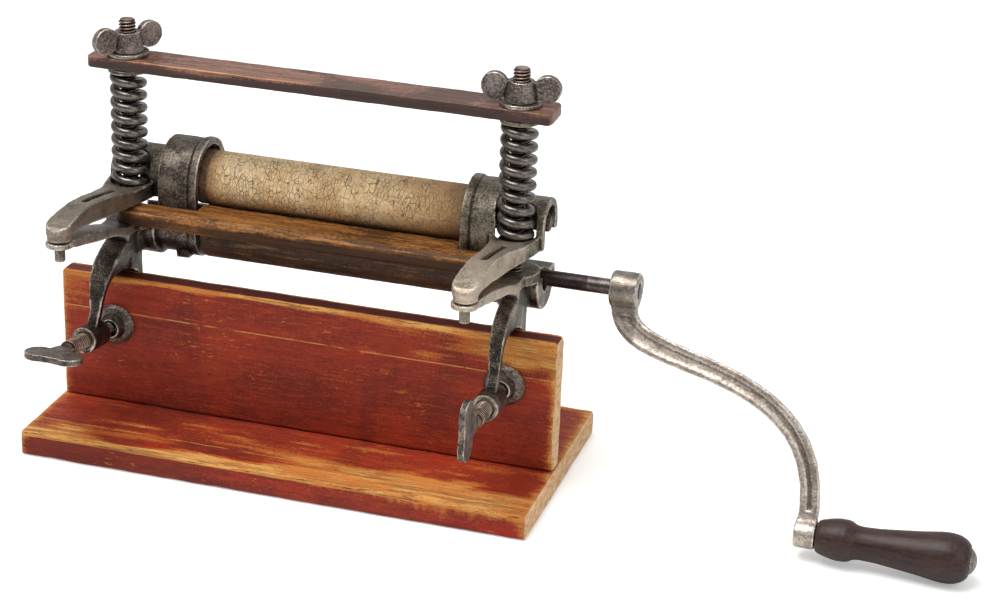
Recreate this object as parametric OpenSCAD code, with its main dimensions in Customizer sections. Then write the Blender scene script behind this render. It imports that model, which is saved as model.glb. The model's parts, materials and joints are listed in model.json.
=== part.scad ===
// Small hand wringer on a wooden stand: two rollers held between cast end frames,
// pressed together by two coil springs under a wooden crossbar, and turned by a crank.
// +X runs along the rollers towards the crank, +Y is the back, +Z is up.
// The origin is the middle of the base board's underside.

/* [Stand] */
// Length of the base board
base_l = 200; // [190:1:260]
// Depth of the base board from front to back
base_d = 96.4; // [80:0.2:120]
// Thickness of the base board
base_t = 9.8; // [8:0.2:12]
// Distance from each end of the base board in to the end of the upright board
upright_inset = 0.8; // [0:0.1:6]
// Thickness of the upright board
upright_t = 8.8; // [7:0.2:9.4]
// Height of the upright board above the base board
upright_h = 52; // [46:0.5:58]
// Distance from the middle of the base to the front face of the upright
upright_front = 10.4; // [9:0.2:12]
// Radius on the corners of both boards
board_corner_r = 1.6; // [0.5:0.1:3]
// Shank diameter of the wood screws under the base
stand_screw_d = 4.2; // [3:0.1:5]
// Length of the wood screws
stand_screw_l = 34; // [20:1:40]

/* [Rods and crossbar] */
// Distance between the two threaded rods
rod_gap = 152.4; // [140:0.2:170]
// Outer diameter of the rod thread
rod_d = 6.35; // [5:0.05:6.6]
// Length of a threaded rod
rod_l = 89; // [84:0.5:94]
// Lead of every screw thread
thread_pitch = 1.27; // [1:0.01:1.6]
// Sideways shift of the wringer on its stand
wringer_x = 1.4; // [-3:0.1:3]
// Length that the crossbar runs past each rod
bar_past = 13.6; // [9:0.1:20]
// Width of the crossbar
bar_w = 16; // [14:0.2:20]
// Thickness of the crossbar
bar_t = 4.6; // [3.6:0.1:6]
// Length of a spring from its cup to the washer above it
spring_l = 44.8; // [42:0.1:48]
// Wire diameter of the springs
wire_d = 3.5; // [2:0.1:3.6]
// Gap between each spring and the rod inside it
spring_fit = 0.325; // [0.2:0.025:0.4]
// Turns of each spring
spring_turns = 8.75; // [7:0.25:9.5]
// Thickness of the washers above the springs
spring_washer_t = 1.8; // [0.8:0.1:2.4]
// Thickness of the washers under the wing nuts
nut_washer_t = 1.4; // [0.8:0.1:2]
// Outer diameter of the washers
washer_d = 16; // [14:0.2:18]

/* [Wing nuts] */
// Height of a wing nut's hub
nut_h = 7.4; // [6:0.1:8]
// Diameter of the hub at its foot
nut_foot_d = 12.4; // [10.5:0.1:14]
// Diameter of the hub at its top
nut_top_d = 9.6; // [8.6:0.1:10.4]
// Radius of each round wing
wing_r = 5.1; // [4.5:0.1:6.5]
// Distance from the nut's axis to the middle of a wing
wing_reach = 9.6; // [8.6:0.1:11]
// Thickness of a wing
wing_t = 3; // [2:0.1:4]
// Turn of the left nut about its rod, in degrees
nut_turn_left = 58; // [0:1:180]
// Turn of the right nut about its rod, in degrees
nut_turn_right = 6; // [0:1:180]

/* [Rollers] */
// Outer diameter of both rollers
roller_d = 21; // [18:0.1:21.4]
// Length that the upper rubber runs into each hood
rubber_in = 4; // [1:0.5:8]
// Gap between the lower rubber and the left shield
rubber_gap_left = 0.6; // [0.3:0.1:2]
// Gap between the lower rubber and the right shield
rubber_gap_right = 1; // [0.3:0.1:2]
// Diameter of both roller shafts
shaft_d = 6; // [5:0.1:6.2]
// Height of the lower roller's axis above the table
lower_z = 77.6; // [77:0.1:78.4]
// Distance of the roller axes behind the middle of the base
shaft_y = 12.5; // [12.4:0.1:13.2]
// Chamfer on the ends of the rubber
rubber_chamfer = 1.2; // [0.4:0.1:2]

/* [Castings] */
// Outer radius of the hood round each end of the upper roller
hood_r = 14.6; // [14:0.1:15]
// Wall thickness of the hoods and the lower shields
hood_wall = 2.3; // [1.6:0.1:2.6]
// Outer radius of the shield round each end of the lower shaft
shield_r = 10.3; // [9:0.1:11]
// Width of the raised lip on the inner edge of each hood
lip_w = 3; // [2:0.1:4]
// Height of the raised lip
lip_h = 0.7; // [0.3:0.1:1]
// Distance from the left rod in to the left hood's inner edge
hood_reach_left = 28.6; // [28:0.1:30]
// Distance from the right rod in to the right hood's inner edge
hood_reach_right = 20.2; // [19:0.1:21]
// Distance from the left rod to the inner edge of the left shield
shield_reach_left = 26.5; // [26:0.1:28]
// Outer radius of the bearing arch over each end of the upper shaft
saddle_r = 10; // [9:0.1:10.6]
// Outer radius of the bearing trough under each end of the lower shaft
trough_r = 12; // [11:0.1:12.4]
// Outer radius of the cup that each spring stands in
cup_r = 9.3; // [8.8:0.1:10]
// Depth of the spring cup
cup_deep = 1.8; // [1:0.1:2.4]
// Distance that the left bearing arch runs outboard of its rod
bearing_out_left = 8.8; // [8.4:0.1:11]
// Distance that the right bearing arch runs outboard of its rod
bearing_out_right = 10.4; // [8.4:0.1:11]
// Distance from the rod forward to the pivot pin
pivot_reach = 61; // [58:0.5:66]
// Diameter of the pivot pin
pivot_d = 3.9; // [3:0.1:4.2]
// Radius of the disc round the foot of each rod
pad_r = 9.8; // [9:0.1:10.4]
// Half width of the upper arm at its tip
arm_tip_r = 4.9; // [4:0.1:5.4]
// Length of the slot in the top of the upper arm
arm_slot_l = 26; // [18:0.5:30]

/* [Clamps] */
// Distance of the left clamp screw outboard of its rod
clamp_x_left = 3; // [0:0.1:3.4]
// Distance of the right clamp screw outboard of its rod
clamp_x_right = 1.6; // [0:0.1:3.4]
// Distance of the left leg outboard of its rod
leg_x_left = 0.8; // [0:0.1:4]
// Distance of the right leg outboard of its rod
leg_x_right = 3; // [0:0.1:4]
// Downward slope of the left clamp screw towards the board, in degrees
clamp_slope_left = 6.5; // [0:0.5:8]
// Downward slope of the right clamp screw towards the board, in degrees
clamp_slope_right = 3; // [0:0.5:8]
// Turn of the left clamp screw towards the rollers, in degrees
clamp_skew_left = 3; // [0:0.5:6]
// Turn of the right clamp screw towards the rollers, in degrees
clamp_skew_right = 0; // [0:0.5:6]
// Width of the left hook where it goes over the upright
hook_w_left = 9.5; // [7:0.1:10]
// Width of the right hook where it goes over the upright
hook_w_right = 6.4; // [6.2:0.1:10]
// Distance of the left hook's middle outboard of its rod
hook_x_left = 0.8; // [0:0.1:3]
// Distance of the right hook's middle outboard of its rod
hook_x_right = 2.2; // [2:0.1:3]
// Width of the leg in front of the upright
leg_w = 4.4; // [3.4:0.1:6]
// Height of the left clamp screw above the table, at its boss
clamp_z_left = 45.1; // [42:0.1:47]
// Height of the right clamp screw above the table, at its boss
clamp_z_right = 43.8; // [42:0.1:47]
// Outer diameter of the clamp screw's thread
clamp_screw_d = 6.35; // [5:0.05:6.6]
// Diameter of the clamp pad
clamp_pad_d = 16.2; // [13:0.1:18]
// Length of the thumb piece
thumb_l = 23; // [18:0.5:26]
// Depth of the thumb piece
thumb_w = 11; // [8:0.5:12]
// Thickness of the thumb piece
thumb_t = 2.6; // [1.6:0.1:3.4]

/* [Guide board] */
// Thickness of the guide board
guide_t = 6.7; // [5.5:0.1:6.8]
// Distance of its front edge before the middle of the base
guide_front = 12.8; // [11:0.1:14]
// Length that it runs past the left rod
guide_past_left = 2; // [1:0.1:4]
// Length by which it stops short of the right rod
guide_short_right = 2.6; // [0:0.1:3]

/* [Crank] */
// Distance from the crank's axis to the grip's axis
crank_r = 77.5; // [60:0.5:80]
// Distance from the right rod out to the hub
hub_out = 34.6; // [24:0.2:40]
// Length of the hub
hub_l = 10.8; // [9:0.2:14]
// Diameter of the hub
hub_d = 13.4; // [12:0.2:17]
// Distance that the arm carries the grip out past the middle of the hub
crank_out = 78.8; // [60:0.2:85]
// Thickness of the arm
crank_t = 5.6; // [4:0.1:7]
// Width of the arm beside the hub
crank_w_hub = 9.6; // [8:0.1:12]
// Width of the arm beside the grip
crank_w_grip = 7; // [5:0.1:8]
// Diameter of the boss that holds the grip's spindle
boss_d = 10.4; // [8:0.1:12]
// Length of the boss
boss_l = 8; // [6:0.1:10]
// Length of the grip
grip_l = 54.5; // [44:0.5:60]
// Largest diameter of the grip
grip_d = 18.2; // [15:0.1:20]
// Diameter of the spindle in the grip
spindle_d = 4; // [3:0.1:5]
// Diameter of the spindle's domed head
spindle_head_d = 9.6; // [7:0.1:10]

/* [Clearances] */
// Gap between flat faces that nearly touch
face_gap = 0.1; // [0.05:0.01:0.3]
// Gap between loose or curved neighbours
loose_gap = 0.3; // [0.2:0.05:0.5]
// Radial clearance of a shaft in its bearing
running_gap = 0.05; // [0.02:0.01:0.1]

/* [Hidden] */
$fn = 96;

// Boards
upright_l = base_l - 2 * upright_inset;
upright_y = -upright_front;
upright_back = upright_y + upright_t;
upright_top = base_t + upright_h;
screw_y = upright_y + upright_t / 2;
screw_span = 140;
screw_head_r = stand_screw_d;
screw_head_h = 2.4;
thread_fit = 0.02;

// Heights of the castings, from the table up
rod_y = 1.8;
rod_x = rod_gap / 2;
upper_z = lower_z + roller_d + loose_gap;
pad_t = 4.2;
guide_z = 84.2;
guide_top = guide_z + guide_t;
pad_top = guide_z - face_gap;
arm_foot_z = guide_top + 0.4;
cup_top = arm_foot_z + 6.1;
seat_z = cup_top - cup_deep;
arm_top = cup_top + 5.6;
pivot_y = rod_y - pivot_reach;
ring_t = 2.3;
ring_r = arm_tip_r + 0.2;
boss_z = arm_top - 8.2;
ring_z = boss_z - loose_gap - ring_t;
pin_below = 5.4;
arm_front = pivot_y - arm_tip_r;

// Stack on the rods
bar_l = rod_gap + 2 * bar_past;
spring_top = seat_z + spring_l;
bar_z = spring_top + spring_washer_t + 2 * face_gap;
bar_top = bar_z + bar_t;
nut_z = bar_top + nut_washer_t + 2 * face_gap;
rod_foot = 71.6;
spring_mean_r = (rod_d + wire_d) / 2 + spring_fit;
pocket_r = spring_mean_r + wire_d / 2 + 0.45;

// Bearings: how far each part of a casting reaches along the shaft, from the rod outwards
trough_out = 9.8;
trough_in = 9.8;
hood_w = 13.2;
hood_end_wall = 2.5;
hood_foot_z = guide_top - 2;
shield_top = guide_z - 0.6;
trough_top = lower_z + 1.4;
trough_rim = lower_z + 1.9;
hood_left = wringer_x - rod_x + hood_reach_left;
hood_right = wringer_x + rod_x - hood_reach_right;
shield_left = wringer_x - rod_x + shield_reach_left;

// Clamps
leg_back = 27;
leg_t = 4;
jaw_t = 4.5;
jaw_foot = 49;
jaw_gap = 0.3;
clamp_y = -33;
clamp_boss_r = 5.2;
clamp_boss_l = 13;
clamp_boss_in = 9.6;
pad_rim_t = 2.2;
pad_hub_r = 4.6;
pad_hub_l = 4;
pad_socket_r = 2.5;
pad_socket_deep = 3.2;
pad_face_y = upright_y - face_gap;
nose_r = 2.3;
thumb_out = 25.6;
neck_out = 15;

// Crank
hub_x = wringer_x + rod_x + hub_out;
hub_mid = hub_x + hub_l / 2;
grip_x = hub_mid + crank_out + boss_l / 2 + face_gap;
grip_rest = 0.1;
crank_tilt = acos((lower_z - grip_d / 2 - grip_rest) / crank_r);
shaft_left = wringer_x - rod_x - bearing_out_left;

function radial(a) = [cos(a), sin(a), 0];

// What differs between the two ends of the wringer: -1 is the left end, 1 the right end
function clamp_x(s) = s < 0 ? clamp_x_left : clamp_x_right;
function clamp_z(s) = s < 0 ? clamp_z_left : clamp_z_right;
function clamp_slope(s) = s < 0 ? clamp_slope_left : clamp_slope_right;
function clamp_skew(s) = s < 0 ? clamp_skew_left : clamp_skew_right;
function hook_x(s) = s < 0 ? hook_x_left : hook_x_right;
function hook_w(s) = s < 0 ? hook_w_left : hook_w_right;
function leg_x(s) = s < 0 ? leg_x_left : leg_x_right;
function hood_reach(s) = s < 0 ? hood_reach_left : hood_reach_right;
function shield_reach(s) = s < 0 ? shield_reach_left : hood_reach_right;
function bearing_out(s) = s < 0 ? bearing_out_left : bearing_out_right;

// A point on a curve that bends from a to d, drawn towards b and c on the way
function bend(a, b, c, d, t) =
    pow(1 - t, 3) * a + 3 * pow(1 - t, 2) * t * b + 3 * (1 - t) * t * t * c + pow(t, 3) * d;

// Places a left or right piece at its rod, with local +X pointing away from the rollers
module at_side(s) {
    translate([wringer_x + s * rod_x, 0, 0])
        if (s < 0) mirror([1, 0, 0]) children();
        else children();
}

// Extrudes an outline drawn in Y and Z along X, from x0 to x1
module along_x(x0, x1) {
    translate([x0, 0, 0]) rotate([90, 0, 90]) linear_extrude(x1 - x0) children();
}

// Rod along X round the point y, z
module bar_x(x0, x1, y, z, r) {
    translate([x0, y, z]) rotate([0, 90, 0]) cylinder(h = x1 - x0, r = r);
}

// Rod along Y round the point x, z
module bar_y(y0, y1, x, z, r) {
    translate([x, y0, z]) rotate([-90, 0, 0]) cylinder(h = y1 - y0, r = r);
}

module rounded_plate(l, w, t, r) {
    linear_extrude(t) {
        square([l - 2 * r, w], center = true);
        square([l, w - 2 * r], center = true);
        for (x = [-1, 1], y = [-1, 1])
            translate([x * (l / 2 - r), y * (w / 2 - r)]) circle(r);
    }
}

module screw_places() {
    for (x = [-1, 0, 1]) translate([x * screw_span / 2, screw_y, 0]) children();
}

module base_board() {
    color([0.62, 0.21, 0.13])
        difference() {
            rounded_plate(base_l, base_d, base_t, board_corner_r);
            screw_places() {
                translate([0, 0, -1]) cylinder(h = base_t + 2, d = stand_screw_d + 2 * face_gap);
                translate([0, 0, -face_gap])
                    cylinder(h = screw_head_h + 2 * face_gap,
                        r1 = screw_head_r + loose_gap, r2 = stand_screw_d / 2 + face_gap);
            }
        }
}

module upright_board() {
    color([0.64, 0.22, 0.14])
        difference() {
            translate([0, screw_y, base_t])
                rounded_plate(upright_l, upright_t, upright_h, board_corner_r);
            screw_places() cylinder(h = stand_screw_l + 0.2, d = stand_screw_d + 2 * thread_fit);
        }
}

module stand_screws() {
    color([0.35, 0.33, 0.3])
        screw_places() {
            translate([0, 0, face_gap])
                cylinder(h = screw_head_h - 2 * face_gap, r1 = screw_head_r, r2 = stand_screw_d / 2);
            translate([0, 0, 1]) cylinder(h = stand_screw_l - 1, d = stand_screw_d);
        }
}

// Outline of a shell round a shaft: a half round with straight walls to the open side
module shell_outline(y, z, r, open_z) {
    translate([y, z]) circle(r);
    translate([y - r, min(z, open_z)]) square([2 * r, abs(z - open_z)]);
}

// Side outline of the hook that hangs each end frame on the upright board
module hook_outline(s) {
    crown = upright_top + jaw_gap;
    jaw_y = upright_back + jaw_gap;
    polygon([
        [jaw_y + jaw_t, pad_top - pad_t], [-9, pad_top - pad_t], [-9.5, 77],
        [-16, 75], [-22, 71.6], [-27, 66.5], [-leg_back - leg_t + 0.9, 59.5],
        [-leg_back - leg_t, 52], [-leg_back - leg_t, clamp_z(s)], [-leg_back, clamp_z(s)],
        [-leg_back, 57], [-leg_back + 1.2, 62], [-leg_back + 4.6, 65.4], [-18, 66.6],
        [-12, 66], [-6, crown + 1.8], [jaw_y - 1.6, crown], [jaw_y, crown - 0.4],
        [jaw_y, jaw_foot], [jaw_y + jaw_t - 1, jaw_foot], [jaw_y + jaw_t, jaw_foot + 1]
    ]);
}

// Turns its children to the clamp screw's axis, with local +Y running towards the board
module on_screw(s) {
    translate([clamp_x(s), clamp_y, clamp_z(s)]) rotate([-clamp_slope(s), 0, clamp_skew(s)]) children();
}

module clamp_hook(s) {
    leg = leg_x(s);
    foot = clamp_x(s);
    inner = hook_x(s) - hook_w(s) / 2;
    outer = hook_x(s) + hook_w(s) / 2;
    difference() {
        union() {
            intersection() {
                along_x(inner, outer) hook_outline(s);
                translate([0, -7, 0]) rotate([90, 0, 0]) linear_extrude(40)
                    polygon([
                        [foot - leg_w / 2, clamp_z(s)], [leg - leg_w / 2, 56],
                        [inner, 72], [inner, 90], [outer, 90], [outer, 72],
                        [leg + leg_w / 2, 56], [foot + leg_w / 2, clamp_z(s)]
                    ]);
            }
            intersection() {
                along_x(inner, outer) hook_outline(s);
                translate([-20, -7, 40]) cube([40, 40, 50]);
            }
            on_screw(s) bar_y(clamp_boss_in - clamp_boss_l, clamp_boss_in, 0, 0, clamp_boss_r);
        }
        on_screw(s) bar_y(-30, 20, 0, 0, clamp_screw_d / 2 + running_gap);
    }
}

// Side outline of the forward arm of the lower casting
module lower_arm_outline() {
    polygon([
        [rod_y, pad_top], [-guide_front - 0.3, pad_top], [-24, pad_top + 3.6],
        [-40, ring_z - 0.4], [-54, ring_z + ring_t - 0.4], [pivot_y, ring_z + ring_t],
        [pivot_y, ring_z], [-55, ring_z - 1.4], [-40, ring_z - 4.8], [-24, ring_z - 8.2],
        [-14, pad_top - pad_t + 0.4], [rod_y, pad_top - pad_t]
    ]);
}

module lower_frame(s) {
    lip = -shield_reach(s);
    shield_out = lip + hood_w + lip_w;
    difference() {
        union() {
            // Disc round the foot of the rod, and the column below it
            translate([0, rod_y, pad_top - pad_t]) cylinder(h = pad_t, r = pad_r);
            translate([0, rod_y, rod_foot - 2]) cylinder(h = 12, r = 6);
            // Forward arm with its ring
            intersection() {
                along_x(-pad_r, pad_r) lower_arm_outline();
                linear_extrude(120)
                    polygon([[-4.2, pivot_y - 1], [4.2, pivot_y - 1], [6.5, rod_y + 1], [-6.5, rod_y + 1]]);
            }
            translate([0, pivot_y, ring_z]) cylinder(h = ring_t, r = ring_r);
            // Bearing trough, its neck, and the shield round the roller's end
            along_x(-trough_in, trough_out)
                difference() {
                    shell_outline(shaft_y, lower_z, trough_r, trough_top);
                    translate([-30, lower_z - 6]) square([30, 20]);
                    translate([shaft_y - 50, trough_rim]) square(100);
                }
            bar_x(shield_out - 1, 0, shaft_y, lower_z, shield_r - hood_wall);
            along_x(lip, shield_out) shell_outline(shaft_y, lower_z, shield_r, shield_top);
            along_x(lip, lip + lip_w) shell_outline(shaft_y, lower_z, shield_r + lip_h, shield_top);
            // Foot lug under the shield
            translate([lip + 4, shaft_y - 8, lower_z - shield_r - 0.1]) cube([5.6, 7, 4]);
            clamp_hook(s);
        }
        // Channel that the shaft lies in, open at the top, wider outside the bearing
        bar_x(-60, 60, shaft_y, lower_z, shaft_d / 2 + running_gap);
        translate([-60, shaft_y - shaft_d / 2 - running_gap, lower_z])
            cube([120, shaft_d + 2 * running_gap, 30]);
        bar_x(trough_out - 3.4, trough_out + 1, shaft_y, lower_z, shaft_d / 2 + 2);
        // Room inside the shield
        along_x(lip - 1, shield_out - hood_end_wall)
            shell_outline(shaft_y, lower_z, shield_r - hood_wall, shield_top + 10);
        // Holes for the rod and the pivot pin
        translate([0, rod_y, rod_foot]) cylinder(h = 40, r = rod_d / 2 + thread_fit);
        translate([0, pivot_y, ring_z - 1]) cylinder(h = ring_t + 2, r = pivot_d / 2 + 0.7);
    }
}

module lower_frame_left() {
    color([0.36, 0.35, 0.33]) at_side(-1) lower_frame(-1);
}

module lower_frame_right() {
    color([0.36, 0.35, 0.33]) at_side(1) lower_frame(1);
}

module threaded_rod() {
    chamfer = 0.6;
    translate([0, rod_y, rod_foot]) {
        cylinder(h = rod_l - chamfer, d = rod_d);
        translate([0, 0, rod_l - chamfer]) cylinder(h = chamfer, d1 = rod_d, d2 = rod_d - 2 * chamfer);
    }
}

module threaded_rod_left() {
    color([0.42, 0.34, 0.28]) at_side(-1) threaded_rod();
}

module threaded_rod_right() {
    color([0.42, 0.34, 0.28]) at_side(1) threaded_rod();
}

// Cross-section of the guide board, with its rounded front
module guide_outline(back) {
    polygon([
        [back, guide_z], [back, guide_top], [-guide_front + 2.8, guide_top],
        [-guide_front + 1, guide_top - 1.2], [-guide_front, guide_top - 3.2],
        [-guide_front + 0.2, guide_z + 1.4], [-guide_front + 1.2, guide_z]
    ]);
}

module guide_board() {
    left = wringer_x - rod_x - guide_past_left;
    right = wringer_x + rod_x - guide_short_right;
    nip_drop = lower_z + roller_d / 2 - guide_z;
    back = shaft_y - sqrt(pow(roller_d / 2, 2) - pow(roller_d / 2 - nip_drop, 2)) - 0.5;
    notch = shaft_y - hood_r - lip_h - 0.5;
    end_r = 7;
    rod_notch_r = rod_d / 2 + loose_gap;
    color([0.45, 0.28, 0.17])
        difference() {
            intersection() {
                union() {
                    along_x(left, right) guide_outline(notch);
                    along_x(hood_left + 0.5, hood_right - 0.5) guide_outline(back);
                }
                linear_extrude(120) {
                    translate([left + end_r, -guide_front]) square([right - left - 2 * end_r, 40]);
                    translate([left, -guide_front + end_r]) square([right - left, 40]);
                    for (x = [left + end_r, right - end_r])
                        translate([x, -guide_front + end_r]) circle(end_r);
                }
            }
            for (s = [-1, 1])
                translate([wringer_x + s * rod_x, rod_y, guide_z - 1]) {
                    cylinder(h = guide_t + 2, r = rod_notch_r);
                    translate([min(s, 0) * 20, -rod_notch_r, 0]) cube([20, 20, guide_t + 2]);
                }
        }
}

// Side outline of the upper arm, which rises gently from the cup and drops to its tip
module upper_arm_outline() {
    polygon([
        [rod_y, arm_foot_z], [-9, arm_foot_z], [-25, arm_foot_z + 1.4], [-44, arm_foot_z + 4.4],
        [-54, boss_z + 2.4], [arm_front, boss_z + 2.4], [arm_front, arm_top - 4],
        [arm_front + 1.6, arm_top - 2.4], [-57, arm_top - 0.9], [-50, arm_top - 0.1],
        [-42, arm_top], [-34, arm_top - 0.9], [-24, arm_top - 2.6], [-9, cup_top], [rod_y, cup_top]
    ]);
}

// Outline of a hood: a half round over the shaft whose walls end level at the foot
module hood_outline(r) {
    difference() {
        shell_outline(shaft_y, upper_z, r, hood_foot_z - 1);
        translate([shaft_y - 50, hood_foot_z - 100]) square(100);
    }
}

module upper_arm(s) {
    lip = -hood_reach(s);
    hood_out = lip + hood_w + lip_w;
    difference() {
        union() {
            // Forward arm and its boss
            intersection() {
                along_x(-cup_r, cup_r) upper_arm_outline();
                linear_extrude(120) {
                    polygon([
                        [-arm_tip_r, pivot_y], [arm_tip_r, pivot_y], [arm_tip_r - 0.3, -42],
                        [arm_tip_r + 0.2, -22], [cup_r - 2, -8], [cup_r - 0.5, -2],
                        [-cup_r + 0.5, -2], [-cup_r + 2, -8], [-arm_tip_r - 0.2, -22],
                        [-arm_tip_r + 0.3, -42]
                    ]);
                    translate([0, pivot_y]) circle(arm_tip_r);
                    translate([0, rod_y]) circle(cup_r - 0.2);
                }
            }
            translate([0, pivot_y, boss_z]) cylinder(h = 5, r = arm_tip_r - 0.4);
            // Spring cup
            translate([0, rod_y, arm_foot_z]) cylinder(h = cup_top - arm_foot_z, r = cup_r);
            // Bearing arch over the upper shaft, and the hood round the roller's end
            along_x(hood_out - 1, bearing_out(s))
                difference() {
                    shell_outline(shaft_y, upper_z, saddle_r, arm_foot_z - 1);
                    translate([shaft_y - 50, arm_foot_z - 100]) square(100);
                    translate([shaft_y, 0]) square([30, upper_z - 4.4]);
                }
            along_x(lip, hood_out) hood_outline(hood_r);
            along_x(lip, lip + lip_w) hood_outline(hood_r + lip_h);
        }
        // Channel for the shaft, open at the bottom, wider outside the bearing
        bar_x(-60, 60, shaft_y, upper_z, shaft_d / 2 + running_gap);
        translate([-60, shaft_y - shaft_d / 2 - running_gap, upper_z - 30])
            cube([120, shaft_d + 2 * running_gap, 30]);
        along_x(3.4, 60) shell_outline(shaft_y, upper_z, saddle_r - 2.9, arm_foot_z - 1);
        // Room inside the hood
        along_x(lip - 1, hood_out - hood_end_wall)
            shell_outline(shaft_y, upper_z, hood_r - hood_wall, hood_foot_z - 1);
        // Seat of the spring, and the hole that the rod passes through
        translate([0, rod_y, seat_z]) cylinder(h = 40, r = pocket_r);
        translate([0, rod_y, 60]) cylinder(h = 60, r = rod_d / 2 + 0.9);
        // Slot along the top of the arm, and the hole for the pin
        translate([0, 0, arm_top - 5.4]) linear_extrude(20) {
            translate([-1.2, -38]) square([2.4, arm_slot_l]);
            translate([0, -38]) circle(1.2);
        }
        translate([0, pivot_y, boss_z - 1]) cylinder(h = 5, r = pivot_d / 2 + thread_fit);
    }
}

module upper_arm_left() {
    color([0.44, 0.43, 0.4]) at_side(-1) upper_arm(-1);
}

module upper_arm_right() {
    color([0.44, 0.43, 0.4]) at_side(1) upper_arm(1);
}

module pivot_pin() {
    translate([0, pivot_y, ring_z - pin_below])
        cylinder(h = pin_below + ring_t + loose_gap + 3.8, d = pivot_d);
}

module pivot_pin_left() {
    color([0.38, 0.37, 0.35]) at_side(-1) pivot_pin();
}

module pivot_pin_right() {
    color([0.38, 0.37, 0.35]) at_side(1) pivot_pin();
}

// Centre line of a spring. It winds down to the left, and lies flat where it meets its seats:
// the first and last half turn take up their pitch gradually.
coil_rings = 8;
flat_turns = 0.3;
coil_pitch = (spring_l - 2 * face_gap - wire_d) / (spring_turns - flat_turns);
end_turn = 45;

function risen(t) = t < flat_turns ? coil_pitch * t * t / (2 * flat_turns) : coil_pitch * (t - flat_turns / 2);

function coil_height(t) = t < spring_turns / 2
    ? risen(t)
    : coil_pitch * (spring_turns - flat_turns) - risen(spring_turns - t);

function spring_path() = [for (i = [0:coil_rings * spring_turns]) let (t = i / coil_rings)
    spring_mean_r * radial(end_turn - 360 * t) + [0, 0, wire_d / 2 + coil_height(t)]];

function spring_outward() = [for (i = [0:coil_rings * spring_turns]) radial(end_turn - 360 * i / coil_rings)];

path = spring_path();
outward = spring_outward();
wire_sides = 6;

function along(i) =
    let (last = len(path) - 1, d = path[min(i + 1, last)] - path[max(i - 1, 0)]) d / norm(d);

function wire_ring(i) =
    let (t = along(i), n = outward[i], b = cross(t, n))
    [for (k = [0:wire_sides - 1]) let (w = 360 * k / wire_sides)
        path[i] + wire_d / 2 * (cos(w) * n + sin(w) * b)];

function ring_faces(i) = [for (k = [0:wire_sides - 1]) let (
        a = i * wire_sides + k, b = i * wire_sides + (k + 1) % wire_sides, n = wire_sides)
    each [[a, a + n, b], [b, a + n, b + n]]];

// Least distance between the wire's surfaces in neighbouring turns, taken on the ring centres
least_gap = min([for (i = [0:len(path) - 1], j = [i + coil_rings - 2:1:len(path) - 1]) norm(path[i] - path[j])]) - wire_d;
echo(spring_least_gap_mm = least_gap);

module spring() {
    rings = len(path);
    last = (rings - 1) * wire_sides;
    translate([0, rod_y, seat_z + face_gap])
        polyhedron(
            points = [for (i = [0:rings - 1]) each wire_ring(i)],
            faces = concat(
                [for (i = [0:rings - 2]) each ring_faces(i)],
                [for (k = [1:wire_sides - 2]) [0, k, k + 1]],
                [for (k = [1:wire_sides - 2]) [last, last + k + 1, last + k]]
            )
        );
}

module spring_left() {
    color([0.45, 0.43, 0.4]) translate([wringer_x - rod_x, 0, 0]) spring();
}

module spring_right() {
    color([0.45, 0.43, 0.4]) translate([wringer_x + rod_x, 0, 0]) spring();
}

module washer(z, t, d) {
    translate([0, rod_y, z])
        difference() {
            cylinder(h = t, d = d);
            translate([0, 0, -1]) cylinder(h = t + 2, r = rod_d / 2 + loose_gap);
        }
}

module spring_washer_left() {
    color([0.4, 0.39, 0.37]) at_side(-1) washer(spring_top + face_gap, spring_washer_t, washer_d - 1);
}

module spring_washer_right() {
    color([0.4, 0.39, 0.37]) at_side(1) washer(spring_top + face_gap, spring_washer_t, washer_d - 1);
}

module nut_washer_left() {
    color([0.42, 0.41, 0.38]) at_side(-1) washer(bar_top + face_gap, nut_washer_t, washer_d);
}

module nut_washer_right() {
    color([0.42, 0.41, 0.38]) at_side(1) washer(bar_top + face_gap, nut_washer_t, washer_d);
}

module crossbar() {
    end_r = 2.5;
    color([0.3, 0.2, 0.14])
        difference() {
            translate([wringer_x, rod_y, bar_z]) rounded_plate(bar_l, bar_w, bar_t, end_r);
            for (s = [-1, 1])
                translate([wringer_x + s * rod_x, rod_y, bar_z - 1])
                    cylinder(h = bar_t + 2, r = rod_d / 2 + 0.4);
        }
}

module wing_nut(turn) {
    wing_z = nut_h - 2.6;
    translate([0, rod_y, nut_z]) rotate([0, 0, turn])
        difference() {
            union() {
                cylinder(h = nut_h, d1 = nut_foot_d, d2 = nut_top_d);
                for (s = [-1, 1]) {
                    bar_y(-wing_t / 2, wing_t / 2, s * wing_reach, wing_z, wing_r);
                    translate([0, wing_t / 2, 0]) rotate([90, 0, 0]) linear_extrude(wing_t)
                        polygon([[0, 1.4], [s * wing_reach, 0.8], [s * wing_reach, nut_h - 1], [0, nut_h]]);
                }
            }
            translate([0, 0, -1]) cylinder(h = nut_h + 8, r = rod_d / 2 + running_gap);
        }
}

module wing_nut_left() {
    color([0.46, 0.45, 0.42]) translate([wringer_x - rod_x, 0, 0]) wing_nut(nut_turn_left);
}

module wing_nut_right() {
    color([0.46, 0.45, 0.42]) translate([wringer_x + rod_x, 0, 0]) wing_nut(nut_turn_right);
}

module upper_roller_shaft() {
    color([0.5, 0.48, 0.45])
        bar_x(shaft_left, wringer_x + rod_x + bearing_out_right, shaft_y, upper_z, shaft_d / 2);
}

// Rubber sleeve with chamfered ends, pressed on its shaft, from x0 to x1
module rubber(x0, x1, z) {
    r = roller_d / 2;
    c = rubber_chamfer;
    bore = shaft_d / 2 + thread_fit;
    l = x1 - x0;
    translate([x0, shaft_y, z]) rotate([0, 90, 0]) rotate_extrude()
        polygon([[bore, 0], [r - c, 0], [r, c], [r, l - c], [r - c, l], [bore, l]]);
}

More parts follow.
